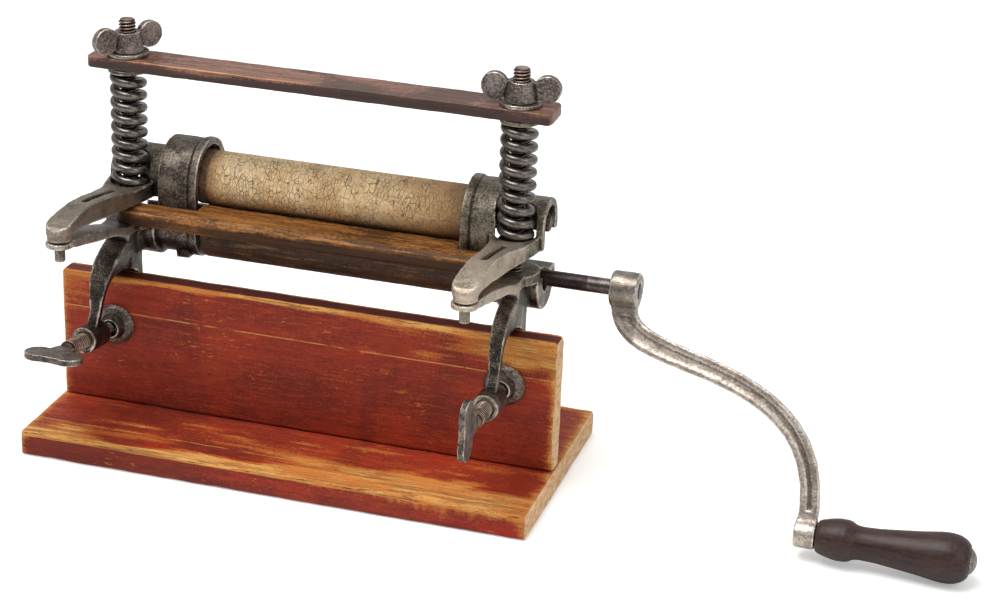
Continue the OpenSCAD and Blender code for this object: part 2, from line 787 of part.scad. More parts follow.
module upper_roller_rubber() {
    color([0.82, 0.72, 0.55]) rubber(hood_left - rubber_in, hood_right + rubber_in, upper_z);
}

module lower_roller_rubber() {
    color([0.32, 0.24, 0.19]) rubber(shield_left + rubber_gap_left, hood_right - rubber_gap_right, lower_z);
}

module crank_shaft() {
    color([0.4, 0.33, 0.28])
        bar_x(shaft_left, hub_x + hub_l, shaft_y, lower_z, shaft_d / 2);
}

// Turns its children into the crank's own plane: +X stays, +Y runs out along the crank
module in_crank_plane() {
    translate([0, shaft_y, lower_z]) rotate([-90 - crank_tilt, 0, 0]) children();
}

// Centre line of the arm: out of the hub, along in a long S, and down to the grip
arm_steps = 12;
arm_top_pt = [hub_mid, 3];
arm_mid_pt = [hub_mid + crank_out * 0.335, crank_r * 0.29];
arm_end_pt = [hub_mid + crank_out, crank_r];

function arm_centre(t) = t < 1
    ? bend(arm_top_pt, arm_top_pt + [0.4, 13], arm_mid_pt - [16, 4], arm_mid_pt, t)
    : bend(arm_mid_pt, arm_mid_pt + [26, 6], arm_end_pt + [3.4, -40], arm_end_pt, t - 1);

function arm_slope(t) =
    let (d = arm_centre(min(t + 0.02, 2)) - arm_centre(max(t - 0.02, 0))) d / norm(d);

function arm_edge(side, inset) = [for (i = [0:2 * arm_steps]) let (
        t = i / arm_steps, s = arm_slope(t),
        half = (crank_w_hub + (crank_w_grip - crank_w_hub) * t / 2) / 2 - inset)
    arm_centre(t) + side * half * [-s[1], s[0]]];

module arm_outline(inset) {
    far = arm_edge(-1, inset);
    polygon(concat(arm_edge(1, inset), [for (i = [len(far) - 1:-1:0]) far[i]]));
}

module crank_arm() {
    groove = 0.7;
    color([0.5, 0.48, 0.45])
        in_crank_plane()
            difference() {
                union() {
                    translate([0, 0, -crank_t / 2]) linear_extrude(crank_t) arm_outline(0);
                    bar_x(hub_x, hub_x + hub_l, 0, 0, hub_d / 2);
                    bar_x(arm_end_pt[0] - boss_l / 2, arm_end_pt[0] + boss_l / 2, crank_r, 0, boss_d / 2);
                }
                for (z = [-crank_t / 2 - 1, crank_t / 2 - groove])
                    translate([0, 0, z]) linear_extrude(groove + 1)
                        difference() {
                            arm_outline(2.4);
                            translate([hub_mid, 0]) square([30, hub_d + 6], center = true);
                            translate([arm_end_pt[0], crank_r]) square([30, boss_d + 6], center = true);
                        }
                bar_x(hub_x - 1, hub_x + hub_l + 1, 0, 0, shaft_d / 2 + thread_fit);
                bar_x(grip_x - boss_l - 2, grip_x + 2, crank_r, 0, spindle_d / 2 + thread_fit);
            }
}

// Radius of the turned grip at a share of its length
grip_r_left = 5.1;
grip_r_bulge = 7.6;
grip_r_waist = 6.3;

function grip_profile() =
    let (l = grip_l, r = grip_d / 2)
    [
        [grip_r_left, 0], [grip_r_left + 0.9, 1.2], [grip_r_bulge - 0.5, l * 0.08],
        [grip_r_bulge, l * 0.155], [grip_r_bulge - 0.3, l * 0.24], [grip_r_waist + 0.2, l * 0.33],
        [grip_r_waist, l * 0.4], [grip_r_waist + 0.6, l * 0.52], [r - 1.2, l * 0.68],
        [r - 0.2, l * 0.8], [r, l * 0.86], [r - 0.4, l * 0.92], [r - 1.7, l * 0.97], [r - 3.5, l]
    ];

module grip() {
    bore = spindle_d / 2 + 0.08;
    color([0.25, 0.13, 0.09])
        in_crank_plane() translate([grip_x, crank_r, 0]) rotate([0, 90, 0]) rotate_extrude()
            polygon(concat([[bore, 0]], grip_profile(), [[bore, grip_l]]));
}

// Turned spindle: a plain rod in the boss and the grip, under a domed head
module grip_spindle() {
    dome = 2.4;
    r = spindle_head_d / 2;
    dome_r = (r * r + dome * dome) / (2 * dome);
    dome_angle = asin(r / dome_r);
    head = boss_l + grip_l + face_gap;
    steps = 8;
    color([0.45, 0.43, 0.4])
        in_crank_plane() translate([grip_x - boss_l, crank_r, 0]) rotate([0, 90, 0]) rotate_extrude()
            polygon(concat(
                [[0, 0], [spindle_d / 2, 0], [spindle_d / 2, head]],
                [for (i = [0:steps]) let (a = dome_angle * (1 - i / steps))
                    [dome_r * sin(a), head + dome - dome_r * (1 - cos(a))]]
            ));
}

// Swivel pad on the nose of a clamp screw, resting on the front of the upright
module clamp_pad(s) {
    run = pad_face_y - clamp_y;
    translate([clamp_x(s) - run * tan(clamp_skew(s)), pad_face_y, clamp_z(s) - run * tan(clamp_slope(s))])
        rotate([90, 0, 0]) rotate_extrude()
            polygon([
                [0, 0], [clamp_pad_d / 2, 0], [clamp_pad_d / 2, 0.9], [clamp_pad_d / 2 - 1, pad_rim_t],
                [pad_hub_r, pad_rim_t + 0.8], [pad_hub_r - 0.8, pad_rim_t + pad_hub_l],
                [pad_socket_r + 0.6, pad_rim_t + pad_hub_l],
                [pad_socket_r + 0.3, pad_rim_t + pad_hub_l - pad_socket_deep],
                [0, pad_rim_t + pad_hub_l - pad_socket_deep]
            ]);
}

module clamp_pad_left() {
    color([0.36, 0.34, 0.32]) at_side(-1) clamp_pad(-1);
}

module clamp_pad_right() {
    color([0.36, 0.34, 0.32]) at_side(1) clamp_pad(1);
}

module thumb_outline() {
    lobe = thumb_w / 2;
    for (s = [-1, 1]) translate([s * (thumb_l / 2 - lobe), 0]) circle(lobe);
    square([thumb_l - 2 * lobe, thumb_w - 1], center = true);
    polygon([
        [-clamp_screw_d / 2, thumb_out - neck_out], [clamp_screw_d / 2, thumb_out - neck_out],
        [thumb_l / 2 - lobe, 0], [-thumb_l / 2 + lobe, 0]
    ]);
}

// Distance along the screw from its boss to the middle of the ball on its nose
function nose_out(s) = (pad_face_y - pad_rim_t - pad_hub_l + pad_socket_deep - nose_r - face_gap - clamp_y)
    / (cos(clamp_slope(s)) * cos(clamp_skew(s)));

// Clamp screw with its flat thumb piece, turned about its axis by the given angle
module clamp_screw(s, turn) {
    nose = nose_out(s);
    shoulder = nose - nose_r - 1.6;
    on_screw(s) rotate([0, turn, 0]) {
        translate([0, nose, 0]) sphere(nose_r);
        bar_y(shoulder - 1, nose, 0, 0, nose_r - 0.7);
        bar_y(-neck_out, shoulder, 0, 0, clamp_screw_d / 2);
        translate([0, -thumb_out, -thumb_t / 2]) linear_extrude(thumb_t) thumb_outline();
    }
}

module clamp_screw_left() {
    color([0.42, 0.38, 0.34]) at_side(-1) clamp_screw(-1, 0);
}

module clamp_screw_right() {
    color([0.42, 0.38, 0.34]) at_side(1) clamp_screw(1, 90);
}

base_board();
upright_board();
stand_screws();
lower_frame_left();
lower_frame_right();
threaded_rod_left();
threaded_rod_right();
guide_board();
upper_arm_left();
upper_arm_right();
pivot_pin_left();
pivot_pin_right();
spring_left();
spring_right();
spring_washer_left();
spring_washer_right();
crossbar();
nut_washer_left();
nut_washer_right();
wing_nut_left();
wing_nut_right();
upper_roller_shaft();
upper_roller_rubber();
crank_shaft();
lower_roller_rubber();
crank_arm();
grip();
grip_spindle();
clamp_screw_left();
clamp_screw_right();
clamp_pad_left();
clamp_pad_right();
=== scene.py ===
"""Looks of a small hand wringer that stands clamped to a painted wooden stand.

Lengths in the dataclass fields are millimetres, and every mesh is in metres in the model's own
frame: +X along the rollers towards the crank, +Y to the back, +Z up, with the origin under the
middle of the base board.
"""

from __future__ import annotations

import json
import logging
import math
from collections.abc import Callable
from dataclasses import dataclass, field
from enum import Enum

import bmesh
import bpy
import numpy as np
from mathutils import Matrix, Vector

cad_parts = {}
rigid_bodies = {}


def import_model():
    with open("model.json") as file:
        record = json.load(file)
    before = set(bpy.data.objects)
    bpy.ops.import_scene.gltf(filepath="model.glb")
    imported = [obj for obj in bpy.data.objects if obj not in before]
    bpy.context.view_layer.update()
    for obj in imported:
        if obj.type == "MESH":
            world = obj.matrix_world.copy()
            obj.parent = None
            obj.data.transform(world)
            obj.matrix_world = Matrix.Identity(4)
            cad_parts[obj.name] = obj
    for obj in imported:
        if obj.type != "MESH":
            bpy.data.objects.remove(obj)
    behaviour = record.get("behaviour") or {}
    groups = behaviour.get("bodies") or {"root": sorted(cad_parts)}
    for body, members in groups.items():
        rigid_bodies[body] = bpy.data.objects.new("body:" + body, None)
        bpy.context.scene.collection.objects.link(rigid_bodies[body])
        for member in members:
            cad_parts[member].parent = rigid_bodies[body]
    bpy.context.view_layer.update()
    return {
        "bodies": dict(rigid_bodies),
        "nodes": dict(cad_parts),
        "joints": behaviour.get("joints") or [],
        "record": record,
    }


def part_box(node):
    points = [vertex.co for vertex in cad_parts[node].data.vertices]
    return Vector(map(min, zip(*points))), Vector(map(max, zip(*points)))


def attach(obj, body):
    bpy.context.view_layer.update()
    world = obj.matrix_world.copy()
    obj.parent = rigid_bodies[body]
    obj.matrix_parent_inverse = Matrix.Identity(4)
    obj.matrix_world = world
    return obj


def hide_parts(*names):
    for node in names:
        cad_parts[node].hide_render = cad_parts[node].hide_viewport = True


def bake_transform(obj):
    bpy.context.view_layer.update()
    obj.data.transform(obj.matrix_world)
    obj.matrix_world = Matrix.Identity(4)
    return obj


log = logging.getLogger("wringer")

Array = np.ndarray
Colour = tuple[float, float, float]
Socket = bpy.types.NodeSocket
MM = 0.001
X_AXIS = np.array([1.0, 0.0, 0.0])
Z_AXIS = np.array([0.0, 0.0, 1.0])
RANGE_SOCKETS = ("From Min", "From Max", "To Min", "To Max")
MOST_WORN = 1.4

# A worn patch: its middle and its spread on two axes, in millimetres, and its depth
Patch = tuple[tuple[float, float], tuple[float, float], float]


class Side(Enum):
    """The two ends of the wringer, with the sign of X that each lies on."""

    LEFT = -1
    RIGHT = 1

    @property
    def word(self) -> str:
        """Word that ends the names of this side's pieces."""
        return self.name.lower()


class Feature(Enum):
    """What a cell pattern measures."""

    SPOTS = "F1"
    EDGES = "DISTANCE_TO_EDGE"


# Surfaces


def ripple(points: Array, wave: float, seed: int) -> Array:
    """Gives a smooth unevenness between -1 and 1.

    It is the mean of 24 sine waves in seeded directions, whose lengths lie round the given one.

    Args:
        points: Places to read it at, one row each, in metres.
        wave: Middle wavelength in millimetres.
        seed: Seed of the directions and phases.

    Returns:
        One value for each point.
    """
    rng = np.random.default_rng(seed)
    ways = rng.normal(size=(24, 3))
    ways /= np.linalg.norm(ways, axis=1)[:, None]
    ways *= (2 * np.pi / (wave * MM * rng.uniform(0.6, 1.8, 24)))[:, None]
    phase = rng.uniform(0, 2 * np.pi, 24)
    return np.clip(3 * np.sin(points @ ways.T + phase).mean(1), -1, 1)


def grid_quads(rows: int, cols: int, wrap_rows: bool = False, wrap_cols: bool = True) -> Array:
    """Joins a grid of points into four-sided faces, each from a point to its next row and column.

    Args:
        rows: Rows of the grid.
        cols: Points in a row.
        wrap_rows: Whether the last row joins the first.
        wrap_cols: Whether a row's last point joins its first.

    Returns:
        Four point numbers for each face.
    """
    i = np.arange(rows if wrap_rows else rows - 1)[:, None]
    j = np.arange(cols if wrap_cols else cols - 1)[None, :]
    below, beside = (i + 1) % rows, (j + 1) % cols
    corners = [i * cols + j, i * cols + beside, below * cols + beside, below * cols + j]
    return np.stack(corners, -1).reshape(-1, 4)


def placed(name: str, data: bpy.types.ID) -> bpy.types.Object:
    """Puts a mesh, lamp or camera into the scene.

    Args:
        name: Name of the object.
        data: What it shows or does.

    Returns:
        The object, at the origin.
    """
    made = bpy.data.objects.new(name, data)
    bpy.context.scene.collection.objects.link(made)
    return made


def new_piece(name: str, points: Array, faces: list[list[int]]) -> bpy.types.Object:
    """Makes a mesh object whose faces point outwards: flat end caps, and smooth between them.

    Args:
        name: Name of the piece.
        points: Vertices, one row each, in metres.
        faces: Vertex numbers of each face.

    Returns:
        The object, at the origin.
    """
    mesh = bpy.data.meshes.new(name)
    mesh.from_pydata(points.tolist(), [], faces)
    made = bmesh.new()
    made.from_mesh(mesh)
    if made.calc_volume(signed=True) < 0:
        bmesh.ops.reverse_faces(made, faces=made.faces)
    made.to_mesh(mesh)
    made.free()
    mesh.polygons.foreach_set("use_smooth", [len(face) == 4 for face in faces])
    return placed(name, mesh)


def swept(name: str, rings: Array, capped: bool = True) -> bpy.types.Object:
    """Skins rings of points, and closes the first and last ring with a flat face.

    Args:
        name: Name of the piece.
        rings: Points by ring, by place round the ring, and by coordinate.
        capped: Whether the ends get flat faces. Without them the last ring joins the first.

    Returns:
        The closed piece.
    """
    rows, cols = rings.shape[:2]
    faces = grid_quads(rows, cols, wrap_rows=not capped).tolist()
    if capped:
        faces.append(list(range(cols)))
        faces.append(list(range(rows * cols - 1, (rows - 1) * cols - 1, -1)))
    return new_piece(name, rings.reshape(-1, 3), faces)


def across(axis: Array) -> tuple[Array, Array]:
    """Gives two unit vectors square to an axis and to each other, turning right-handed about it.

    Args:
        axis: Unit vector along the axis.

    Returns:
        The two vectors.
    """
    side = np.cross(axis, [0.0, 0.0, 1.0] if abs(axis[2]) < 0.9 else [1.0, 0.0, 0.0])
    side /= np.linalg.norm(side)
    return side, np.cross(axis, side)


def turned(name: str, foot: Array, axis: Array, profile: Array, sides: int = 96,
           closed_loop: bool = False) -> bpy.types.Object:
    """Turns a profile about an axis.

    A point at angle a and profile row (s, r) lies at foot + s * axis + r * (cos a * u + sin a * v),
    with u and v square to the axis.

    Args:
        name: Name of the piece.
        foot: Point on the axis from which the profile is measured, in metres.
        axis: Unit vector along the axis.
        profile: Rows of distance along the axis and radius, in metres.
        sides: Points round the axis.
        closed_loop: Whether the profile closes on itself, as round a bore.

    Returns:
        The turned piece.
    """
    u, v = across(axis)
    a = np.linspace(0, 2 * np.pi, sides, endpoint=False)
    round_it = np.cos(a)[:, None] * u + np.sin(a)[:, None] * v
    rings = foot + profile[:, 0, None, None] * axis + profile[:, 1, None, None] * round_it[None]
    return swept(name, rings, capped=not closed_loop)


def eased(profile: Array, step: float, corner: float) -> Array:
    """Rounds a profile: resamples it evenly, then takes a running mean, with its ends kept.

    Args:
        profile: Rows of distance and radius, in metres.
        step: Distance between the new rows, in metres.
        corner: Length of the running mean, in metres.

    Returns:
        The finer and rounder profile.
    """
    runs = np.concatenate([[0], np.cumsum(np.linalg.norm(np.diff(profile, axis=0), axis=1))])
    at = np.linspace(0, runs[-1], max(int(runs[-1] / step), 4))
    fine = np.stack([np.interp(at, runs, profile[:, k]) for k in (0, 1)], 1)
    width = max(int(corner / step) | 1, 1)
    held = width // 2
    padded = np.concatenate([np.repeat(fine[:1], held, 0), fine, np.repeat(fine[-1:], held, 0)])
    kernel = np.ones(width) / width
    mean = np.stack([np.convolve(padded[:, k], kernel, "valid") for k in (0, 1)], 1)
    mean[0], mean[-1] = fine[0], fine[-1]
    return mean


def chamfered(length: float, radius: float, inner: float, corner: float) -> Array:
    """Gives the profile of a round bar or sleeve with both outer corners cut off.

    Args:
        length: Length in metres.
        radius: Outer radius in metres.
        inner: Radius at which each end face stops, in metres.
        corner: Size of the cut corners, in metres.

    Returns:
        Rows of distance along the axis and radius.
    """
    half = np.array([[0, inner], [0, radius - corner], [corner, radius]])
    return np.concatenate([half, ([length, 0] + half * [-1, 1])[::-1]])


def threaded(name: str, foot: Array, axis: Array, length: float, crest: float, root: float,
             pitch: float, chamfer: float = 0.0) -> bpy.types.Object:
    """Makes a right-hand screw thread as one surface.

    The radius at distance s and angle a follows a blunt wave of s / pitch - a / (2 pi), so its
    crest climbs one pitch a turn. Near both ends the crest is cut down to a chamfer. The field
    "edge" is positive on the crests and the end faces, which paints highlights on them, and
    negative in the grooves, which paints shade in them.

    Args:
        name: Name of the piece.
        foot: Point on the axis where the thread starts, in metres.
        axis: Unit vector along the screw.
        length: Length of the thread, in metres.
        crest: Outer radius in metres.
        root: Inner radius in metres.
        pitch: Distance between crests, in metres.
        chamfer: Length of the chamfer at each end, in metres.

    Returns:
        The threaded piece.
    """
    sides, rows_a_turn = 28, 10
    groove, flank = 0.2, 0.55
    s = np.linspace(0, length, int(length / pitch * rows_a_turn) + 1)[:, None]
    a = np.linspace(0, 2 * np.pi, sides, endpoint=False)[None, :]
    wave = np.abs((s / pitch - a / (2 * np.pi)) % 1 - 0.5) * 2
    radius = root + (crest - root) * np.clip((wave - groove) / flank, 0, 1)
    to_end = np.minimum(s, length - s)
    radius = np.minimum(radius, crest - np.maximum(chamfer - to_end, 0) * 0.9)
    u, v = across(axis)
    round_it = np.cos(a)[..., None] * u + np.sin(a)[..., None] * v
    piece = swept(name, foot + s[..., None] * axis + radius[..., None] * round_it)
    # Painted highlight on the crests and end rings, painted shade in the grooves
    shine = np.clip((radius - root) / (crest - root) * 2.2 - 1.2, -1, 1)
    shine[[0, -1]] = 0.7
    set_field(piece, "edge", shine.ravel())
    return piece


# Copies of castings


def neighbour_mean(points: Array, edges: Array) -> Array:
    """Finds the mean of the points that each point shares an edge with.

    Args:
        points: Vertices, one row each.
        edges: The two vertex numbers of each edge.

    Returns:
        One mean for each point.
    """
    n = len(points)
    count = np.maximum(np.bincount(edges.ravel(), minlength=n), 1)
    total = [
        np.bincount(edges[:, 0], points[edges[:, 1], k], n)
        + np.bincount(edges[:, 1], points[edges[:, 0], k], n)
        for k in range(3)
    ]
    return np.stack(total, 1) / count[:, None]


def relaxed(points: Array, edges: Array, passes: int) -> Array:
    """Smooths a mesh: each pass moves every point half way to its neighbours' mean.

    Args:
        points: Vertices, one row each.
        edges: The two vertex numbers of each edge.
        passes: How often it is done.

    Returns:
        The moved points.
    """
    for _ in range(passes):
        points = (points + neighbour_mean(points, edges)) / 2
    return points


def vertex_rows(vertices: bpy.types.bpy_prop_collection, what: str) -> Array:
    """Reads one vector of each vertex.

    Args:
        vertices: A mesh's vertices, or its vertex normals.
        what: Name of the vector.

    Returns:
        Rows of X, Y and Z.
    """
    flat = np.empty(len(vertices) * 3, np.float32)
    vertices.foreach_get(what, flat)
    return flat.reshape(-1, 3).astype(float)


def mesh_points(mesh: bpy.types.Mesh) -> Array:
    """Reads where a mesh's vertices are, in metres."""
    return vertex_rows(mesh.vertices, "co")


def mesh_normals(mesh: bpy.types.Mesh) -> Array:
    """Reads which way a mesh's surface faces at its vertices."""
    return vertex_rows(mesh.vertex_normals, "vector")


def set_points(mesh: bpy.types.Mesh, points: Array) -> None:
    """Writes a mesh's vertices."""
    mesh.vertices.foreach_set("co", points.astype(np.float32).ravel())
    mesh.update()


def eased_step(distance: Array, width: float) -> Array:
    """Rises from 0 to 1 over a width round distance 0, as a tanh curve."""
    return 0.5 + 0.5 * np.tanh(2 * distance / width)


def set_field(piece: bpy.types.Object, name: str, values: Array) -> None:
    """Stores one number for each vertex, which a finish reads by its name."""
    stored = piece.data.attributes.new(name, "FLOAT", "POINT")
    stored.data.foreach_set("value", values.astype(np.float32))


@dataclass(frozen=True)
class Rounding:
    """How a machined outline is turned into a cast, worn or sanded one.

    Attributes:
        voxel: Size of the new faces, in millimetres.
        passes: Rounds of smoothing, each of which softens the edges further.
        swell: Depth of the surface's unevenness, in millimetres.
        wave: Length of its waves, in millimetres.
        seed: Seed of the waves.
    """

    voxel: float
    passes: int
    swell: float = 0.0
    wave: float = 6.0
    seed: int = 1


# A point's height over the same mesh, smoothed EDGE_PASSES times more, tells an edge from a hollow.
# A height of one voxel divided by EDGE_GAIN is a full edge.
EDGE_PASSES = 12
EDGE_GAIN = 2.4
SAME_PLACE = 1e-6


def rounded_copy(name: str, node: bpy.types.Object, how: Rounding,
                 reshape: Callable[[Array], Array] | None = None) -> bpy.types.Object:
    """Makes a cast-looking copy of a node: merged, remeshed, smoothed and slightly uneven.

    The copy's field "edge" is positive on rounded-off edges and negative in hollows. It is how far
    a point stands out from a smoother version of the mesh.

    Args:
        name: Name of the copy.
        node: The node's object, which stays as it is.
        how: Size and strength of the rounding.
        reshape: Moves the points before they are smoothed.

    Returns:
        The copy, at the origin.
    """
    mesh = node.data.copy()
    merged = bmesh.new()
    merged.from_mesh(mesh)
    bmesh.ops.remove_doubles(merged, verts=merged.verts, dist=SAME_PLACE)
    merged.to_mesh(mesh)
    merged.free()
    raw = placed(name + "_raw", mesh)
    remesh = raw.modifiers.new("skin", "REMESH")
    remesh.mode = "VOXEL"
    remesh.voxel_size = how.voxel * MM
    depsgraph = bpy.context.evaluated_depsgraph_get()
    skin = bpy.data.meshes.new_from_object(raw.evaluated_get(depsgraph))
    bpy.data.objects.remove(raw)
    skin.name = name
    skin.materials.clear()
    edges = np.empty(len(skin.edges) * 2, np.int32)
    skin.edges.foreach_get("vertices", edges)
    edges = edges.reshape(-1, 2)
    points = mesh_points(skin)
    if reshape:
        points = reshape(points)
    points = relaxed(points, edges, how.passes)
    set_points(skin, points)
    normals = mesh_normals(skin)
    stands_out = ((points - relaxed(points, edges, EDGE_PASSES)) * normals).sum(1)
    if how.swell:
        uneven = ripple(points, how.wave, how.seed)
        uneven += 0.5 * ripple(points, how.wave / 3, how.seed + 7)
        points = points + normals * (how.swell * MM * (uneven - 1.5) / 1.5)[:, None]
        set_points(skin, points)
    skin.shade_smooth()
    piece = placed(name, skin)
    set_field(piece, "edge", np.clip(stands_out / (how.voxel * MM) * EDGE_GAIN, -1, 1))
    return piece


def rounded_corner(points: Array, axes: tuple[int, int], corner: tuple[float, float],
                   radius: float) -> Array:
    """Rounds one long edge of a board that runs square to two axes.

    A point that lies further out than the radius from the rounding's middle line is drawn back
    onto it, in the quarter between the line and the edge.

    Args:
        points: Vertices in metres.
        axes: The two axes square to the edge.
        corner: Where the edge's two faces meet on them, in metres.
        radius: Radius in metres, negative for the low side of the first axis.

    Returns:
        The moved points.
    """
    sign = 1 if radius > 0 else -1
    r = abs(radius)
    a = (points[:, axes[0]] - corner[0]) * sign + r
    b = points[:, axes[1]] - corner[1] + r
    far = np.hypot(a, b)
    share = np.where((a > 0) & (b > 0) & (far > r), r / np.maximum(far, 1e-9), 1)
    moved = points.copy()
    moved[:, axes[0]] += (a * share - a) * sign
    moved[:, axes[1]] += b * share - b
    return moved


# Finishes


class Wiring:
    """A node tree, with short calls that add nodes and join them."""

    def __init__(self, tree: bpy.types.NodeTree) -> None:
        """Takes a tree over and empties it."""
        self.tree = tree
        self.tree.nodes.clear()

    def node(self, kind: str, **settings: object) -> bpy.types.Node:
        """Adds a node and sets its plain settings.

        Args:
            kind: The node's type.
            settings: Its properties by name.

        Returns:
            The node.
        """
        made = self.tree.nodes.new(kind)
        for key, value in settings.items():
            setattr(made, key, value)
        return made

    def feed(self, socket: Socket, value: object) -> None:
        """Links a socket to another one, or sets its number or colour.

        Args:
            socket: The socket that takes the value.
            value: Another node's output, a number, a vector or a colour.
        """
        if isinstance(value, bpy.types.NodeSocket):
            self.tree.links.new(value, socket)
        elif isinstance(value, tuple) and len(value) == 3 and socket.type == "RGBA":
            socket.default_value = (*value, 1.0)
        else:
            socket.default_value = value


class Recipe(Wiring):
    """One material's nodes, with a short call for each kind that the finishes use."""

    def __init__(self, name: str) -> None:
        """Starts a material with one shader and object coordinates in millimetres.

        Args:
            name: Name of the material.
        """
        self.material = bpy.data.materials.new(name)
        self.material.use_nodes = True
        super().__init__(self.material.node_tree)
        self.shader = self.node("ShaderNodeBsdfPrincipled")
        output = self.node("ShaderNodeOutputMaterial")
        self.tree.links.new(self.shader.outputs[0], output.inputs[0])
        place = self.node("ShaderNodeTexCoord").outputs["Object"]
        self.mm = self.stretched((1, 1, 1), place, 1000)

    def stretched(self, by: tuple[float, float, float], place: Socket | None = None,
                  scale: float = 1.0) -> Socket:
        """Scales coordinates along X, Y and Z.

        Args:
            by: Factor for each axis.
            place: The coordinates, or none for millimetres.
            scale: Factor for all three.

        Returns:
            The scaled coordinates.
        """
        made = self.node("ShaderNodeMapping", vector_type="POINT")
        self.feed(made.inputs["Vector"], place or self.mm)
        made.inputs["Scale"].default_value = [b * scale for b in by]
        return made.outputs[0]

    def parts(self, place: Socket) -> tuple[Socket, Socket, Socket]:
        """Splits coordinates.

        Args:
            place: The coordinates.

        Returns:
            X, Y and Z.
        """
        made = self.node("ShaderNodeSeparateXYZ")
        self.feed(made.inputs[0], place)
        return made.outputs[0], made.outputs[1], made.outputs[2]

    def noise(self, wave: float, place: Socket | None = None, detail: float = 4,
              rough: float = 0.55) -> Socket:
        """Adds cloudy noise.

        Args:
            wave: Length of its largest blots, in units of the coordinates.
            place: The coordinates, or none for millimetres.
            detail: How many finer layers it has.
            rough: Strength of the finer layers.

        Returns:
            A number round 0.5.
        """
        made = self.node("ShaderNodeTexNoise")
        self.feed(made.inputs["Vector"], place or self.mm)
        made.inputs["Scale"].default_value = 1 / wave
        made.inputs["Detail"].default_value = detail
        made.inputs["Roughness"].default_value = rough
        return made.outputs["Fac"]

    def warped(self, wave: float, by: float, place: Socket | None = None) -> Socket:
        """Shifts coordinates by a noise, so that patterns on them wander.

        Args:
            wave: Length of the noise's blots.
            by: How far it can shift a place.
            place: The coordinates, or none for millimetres.

        Returns:
            The shifted coordinates.
        """
        noise = self.node("ShaderNodeTexNoise")
        self.feed(noise.inputs["Vector"], place or self.mm)
        noise.inputs["Scale"].default_value = 1 / wave
        centred = self.node("ShaderNodeVectorMath", operation="SUBTRACT")
        self.feed(centred.inputs[0], noise.outputs["Color"])
        centred.inputs[1].default_value = (0.5, 0.5, 0.5)
        shift = self.node("ShaderNodeVectorMath", operation="SCALE")
        self.feed(shift.inputs[0], centred.outputs[0])
        shift.inputs["Scale"].default_value = by
        moved = self.node("ShaderNodeVectorMath", operation="ADD")
        self.feed(moved.inputs[0], place or self.mm)
        self.feed(moved.inputs[1], shift.outputs[0])
        return moved.outputs[0]

    def cells(self, wave: float, what: Feature, place: Socket | None = None) -> Socket:
        """Adds a pattern of irregular cells.

        Args:
            wave: Width of a cell.
            what: What is measured in the cells.
            place: The coordinates, or none for millimetres.

        Returns:
            The distance to a cell's middle or to its edge, in cell widths.
        """
        made = self.node("ShaderNodeTexVoronoi", feature=what.value)
        self.feed(made.inputs["Vector"], place or self.mm)
        made.inputs["Scale"].default_value = 1 / wave
        return made.outputs["Distance"]

    def field(self, name: str) -> Socket:
        """Reads a number that the mesh stores for each vertex."""
        return self.node("ShaderNodeAttribute", attribute_name=name).outputs["Fac"]

    def math(self, operation: str, a: Socket | float, b: Socket | float = 0.0) -> Socket:
        """Works out one arithmetic step.

        Args:
            operation: The step.
            a: Its first number.
            b: Its second number.

        Returns:
            The result.
        """
        made = self.node("ShaderNodeMath", operation=operation)
        self.feed(made.inputs[0], a)
        self.feed(made.inputs[1], b)
        return made.outputs[0]

    def sum(self, *terms: Socket | float) -> Socket:
        """Adds up numbers.

        Args:
            terms: The numbers.

        Returns:
            Their sum.
        """
        total = terms[0]
        for term in terms[1:]:
            total = self.math("ADD", total, term)
        return total

    def times(self, a: Socket | float, b: Socket | float) -> Socket:
        """Multiplies two numbers."""
        return self.math("MULTIPLY", a, b)

    def swing(self, noise: Socket, by: float) -> Socket:
        """Turns a noise from 0 to 1 into a push of plus or minus half the given amount."""
        return self.math("MULTIPLY", self.math("SUBTRACT", noise, 0.5), by)

    def step(self, value: Socket, low: float, high: float) -> Socket:
        """Rises smoothly from 0 to 1 between two values, or falls where low is the larger.

        Args:
            value: The number that is compared.
            low: Where the result is 0.
            high: Where the result is 1.

        Returns:
            The share.
        """
        made = self.node("ShaderNodeMapRange", interpolation_type="SMOOTHSTEP")
        self.feed(made.inputs["Value"], value)
        ends = (low, high, 0.0, 1.0) if low < high else (high, low, 1.0, 0.0)
        for name, end in zip(RANGE_SOCKETS, ends):
            made.inputs[name].default_value = end
        return made.outputs["Result"]

    def span(self, value: Socket, low: float, high: float) -> Socket:
        """Spreads a share from 0 to 1 over a range of numbers."""
        return self.sum(self.times(value, high - low), low)

    def mix(self, share: Socket, a: Socket | Colour, b: Socket | Colour) -> Socket:
        """Mixes two colours.

        Args:
            share: Share of the second colour.
            a: The first colour.
            b: The second colour.

        Returns:
            The mixed colour.
        """
        made = self.node("ShaderNodeMix", data_type="RGBA")
        self.feed(made.inputs[0], share)
        self.feed(made.inputs[6], a)
        self.feed(made.inputs[7], b)
        return made.outputs[2]

    def coat(self, under: Socket | Colour, where: Socket, strength: Socket | float,
             over: Socket | Colour) -> Socket:
        """Lays one colour over another, where a share says and as strongly as given."""
        return self.mix(self.times(where, strength), under, over)

